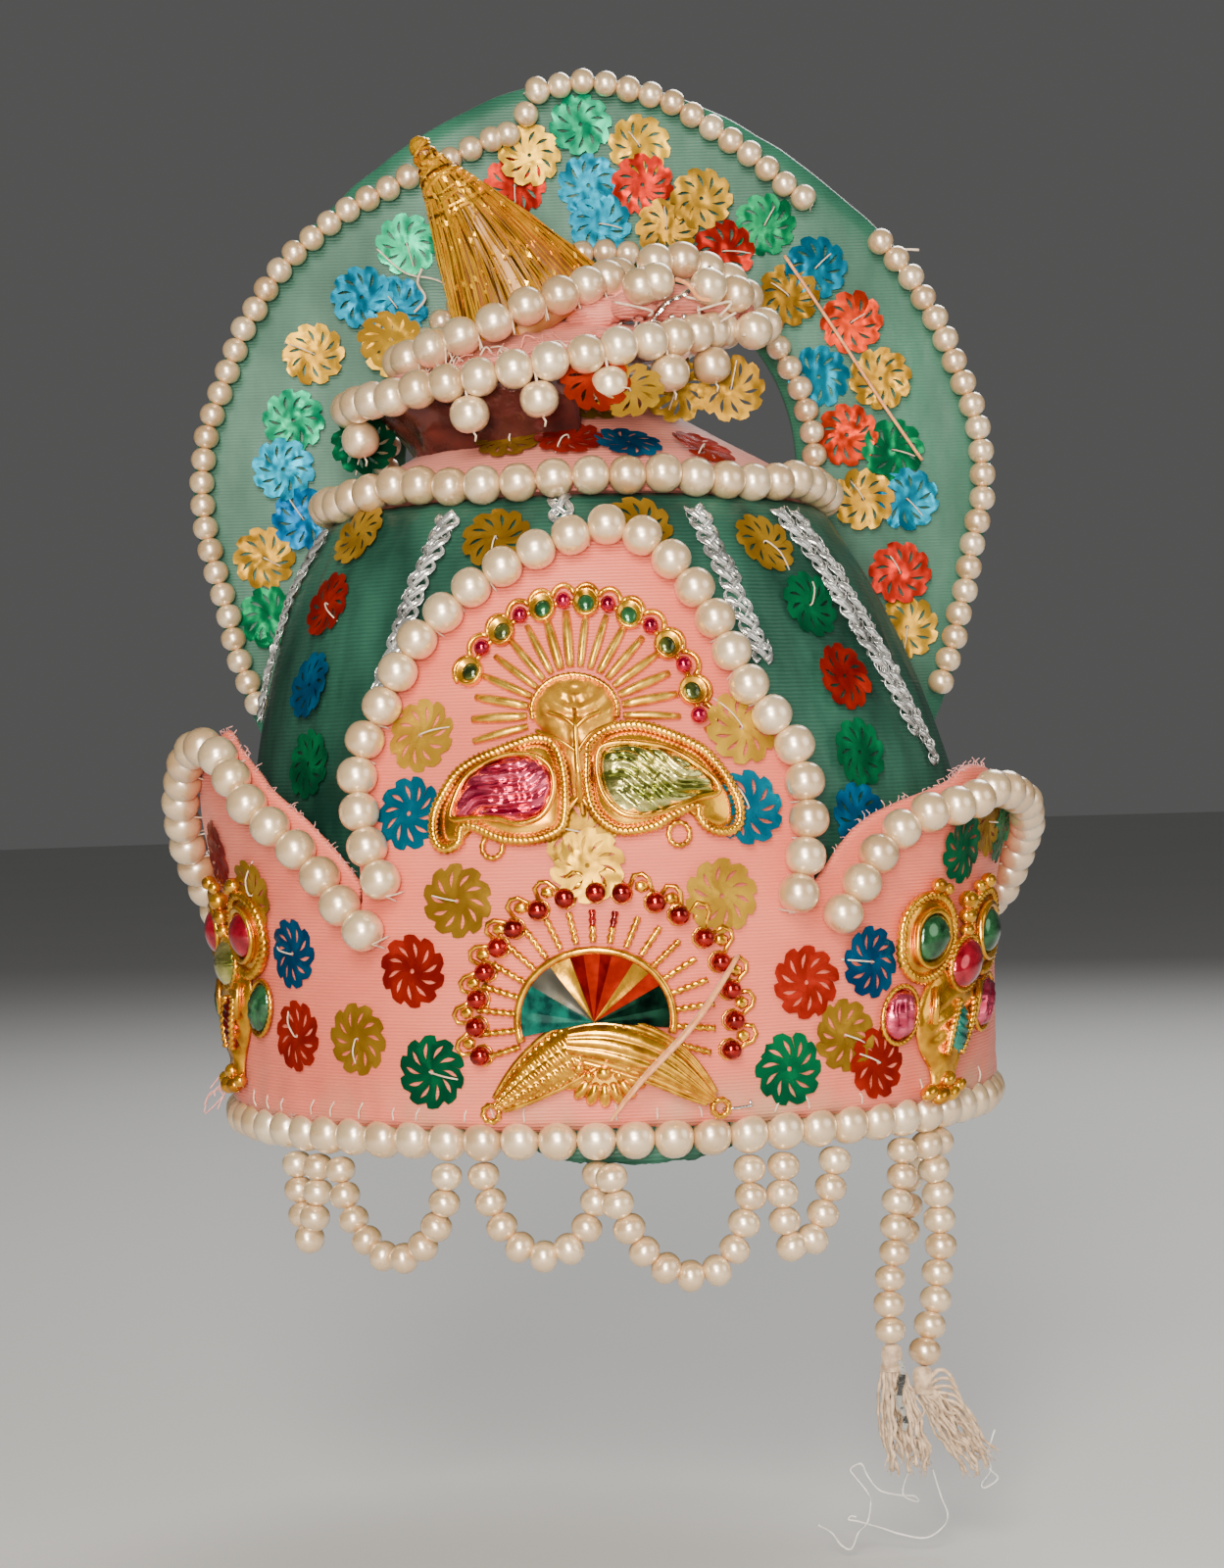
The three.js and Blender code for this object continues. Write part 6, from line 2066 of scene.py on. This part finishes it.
def tassel(number, length, spread, lean_out, squash, count, loops):
    """A tassel under a strand: a bound collar, crinkled threads, and loops that stand out of it."""
    end = strand_points(*STRANDS[number - 1])[-1]
    top = end - Vector((0, 0, 0.3))
    part = Part()
    revolve(part, TASSEL_COLLAR, lambda x, y, h: top + Vector((x, y, -h)), 18)
    angles = [i * 0.45 for i in range(42)]
    wrap = [top + Vector((2.2 * math.cos(t), 2.2 * math.sin(t), -4.2 - 0.05 * t)) for t in angles]
    tube(part, wrap, 0.26, 6)
    foot = top + Vector((lean_out * length, 0, -length))
    for k in range(count):
        turn = 2 * math.pi * (k * 0.618 + 0.2 * rng.random())
        inner = math.sqrt((k + 0.5) / count)
        x, y = math.cos(turn), math.sin(turn)
        a = top + Vector((1.6 * inner * x, 1.6 * inner * y, -3.8))
        b = foot + Vector((spread * inner * x, spread * squash * inner * y, rng.uniform(-1.5, 5.5)))
        out = Vector((x, y * squash, 0)) * rng.uniform(0.2, 1.6)
        crinkled(part, a, b, rng.uniform(0.36, 0.7), out, rng.uniform(0.5, 1.5))
    for k in range(loops):
        start = top + Vector((0.9, -0.6, -3.2 - 0.7 * k))
        path = [(0, 0, 0), (2.0 + k * 0.7, -0.8, 2.6 - k * 0.9), (4.4 + k * 0.7, -0.6, 1.6 - k * 1.2),
                (6.4 + k * 0.6, 0, -3.4 - k), (9.6 + k * 0.4, 0.2, -8.2 - k * 1.5)]
        loop = spline([start + Vector(step) for step in path], 6)
        tube(part, loop, lambda t: 0.55 * (1 - 0.3 * t) * (1 + 0.2 * math.sin(t * 37 + k)), 5, flat=0.7)
    part.build(f"tassel_{number}_cords", [TASSEL_THREAD], "cream_thread", [f"thread_tassel_{number}"])


# The nylon ends, as rows of (x, height).
NYLON_ENDS = [
    [(62.5, -74), (64, -79.5), (65, -82.7), (64.1, -85.9), (60.5, -87.7), (55.5, -87), (51.8, -85.6),
     (48.6, -84.1), (46.3, -83.3), (44.8, -83), (45.3, -82.4), (46.4, -82.6)],
    [(57.6, -74), (56.1, -78.4), (59.2, -80.5), (58.7, -79.3), (55.8, -78.9), (51.4, -77.3), (49.2, -74.9),
     (47.8, -72), (45.7, -73.4), (46.5, -74.8), (48.8, -77.6), (49.6, -80.5), (48.6, -83.7), (47, -86.4),
     (45.2, -89), (43.2, -88.4), (41.5, -86.4), (38.6, -84)],
    [(75.2, -66), (73.3, -71.3), (74.1, -74.2), (75.5, -75.8), (72.8, -77.4), (72.1, -76.5), (74.4, -74.3),
     (73, -70.1)]]


def tassels():
    tassel(1, 24.8, 4.8, 0.10, 1.0, 34, 0)
    tassel(2, 20.4, 4.6, 0.46, 0.6, 32, 5)
    foil, nylon = Part(), Part()
    top = strand_points(*STRANDS[0])[-1]
    strip = [top + Vector((1.2 + 0.5 * math.sin(i * 0.9), -3.1 - 0.14 * i, -3 - 1.35 * i))
             for i in range(11)]
    tube(foil, strip, lambda t: 1.05 + 0.3 * math.sin(t * 30), 5, flat=0.4)
    foil.build("tassel_foil_thread", [SILVER], "silver_foil", smooth=False)
    for rows in NYLON_ENDS:
        tube(nylon, spline([(x, -45 + 1.5 * math.sin(z), z) for x, z in rows], 6), 0.24, 5)
    nylon.build("nylon_thread_ends", [NYLON], "cream_thread")


# Threads in front of the halo, as rows of (x, distance before its face, height), and on the band,
# as rows of (azimuth, height, lift).
HALO_STRAW = [(44.3, 3.4, 186.5), (54, 4.0, 171), (65, 3.8, 153), (74.1, 3.4, 139.1)]
BAND_STRAW = [(16.4, 34.6, 3.4), (9.6, 22, 7.4), (3.4, 12, 6.0), (-0.6, 4.4, 4.6)]
HALO_THREADS = [
    (0.22, [(-48.1, 3.4, 190.9), (-42, 4.4, 185.2), (-35, 4.0, 183.4), (-29.5, 3.4, 180.3)]),
    (0.30, [(75, 2.4, 187), (70.5, 3.4, 186.6), (70.4, 4.0, 182), (74.2, 3.4, 179.4), (76.6, 3.4, 174)]),
    (0.30, [(-40, 5.4, 176), (-37.4, 5.9, 179), (-39, 5.8, 182.5), (-38, 5.4, 185.8)])]
STAPLE = [(14.4, 5.0, 0.1), (14.4, 5.2, 0.6), (16.2, 5.3, 0.65), (18.2, 5.5, 0.6), (18.4, 5.7, 0.5),
          (18.1, 6.6, 0.5)]


def before_halo(rows):
    front = HALO_Y - HALO_THICK / 2
    return spline([(x, front - out, z) for x, out, z in rows], 6)


SIDE_THREADS, FRINGE_THREADS = 9, 80


def frayed_satin(part):
    """Threads that stand out of the satin's left side, and a fringe along the side petals."""
    for _ in range(SIDE_THREADS):
        azimuth = -77 + rng.uniform(-2.5, 2.5)
        a = off_band(azimuth, 9 + rng.uniform(-3, 3), 0.3)
        b = a + Vector((-rng.uniform(1, 5), -rng.uniform(0, 2), -rng.uniform(0, 4)))
        c = b + Vector((-rng.uniform(-1, 3), 0, -rng.uniform(1, 4)))
        tube(part, spline([a, b, c], 4), 0.2, 4)
    for _, rows in (BAND_EDGE[1], BAND_EDGE[3]):
        edge = Route(spline(rows, 24))
        for _ in range(FRINGE_THREADS):
            spot = edge.at(edge.length * rng.uniform(0.03, 0.97))[0]
            a = off_band(spot.x, spot.y - 0.2, -0.8 + rng.uniform(-0.6, 0.6))
            b = a + Vector((rng.uniform(-0.7, 0.7), rng.uniform(-0.7, 0.7), rng.uniform(0.4, 1.2)))
            c = b + Vector((rng.uniform(-1.1, 1.1), rng.uniform(-1, 1), rng.uniform(-0.4, 0.8)))
            tube(part, [a, b, c], 0.11, 4)


def loose_threads():
    straw, white, pink, staple = Part(), Part(), Part(), Part()
    tube(straw, before_halo(HALO_STRAW), 0.42, 5)
    on_band = [off_band(*row) for row in spline(BAND_STRAW, 8)]
    tube(straw, on_band, lambda t: 0.4 + 0.5 * arch(min(1, t * 0.9 + 0.1)), 6, flat=0.6)
    for radius, rows in HALO_THREADS:
        tube(white, before_halo(rows), radius, 5)
    frayed_satin(pink)
    straw.build("straw_threads", [STRAW], "cream_thread")
    white.build("white_loose_threads", [THREAD], "cream_thread")
    pink.build("frayed_satin_threads", [PINK_THREAD], "pink_satin")
    tube(staple, [off_band(*row) for row in STAPLE], 0.28, 6)
    staple.build("band_staple", [SILVER], "silver_foil")


band_shell()
band_lining()
hem_stitches()
dome_shell()
cone_shell()
halo_plate()
cap_shell()
band_pearls()
halo_pearls()
cap_pearls()
cap_film_and_shade()
cap_cluster()
cap_frays()
hanging_strings()
sequins()
brooches()
braids()
finial()
tassels()
loose_threads()
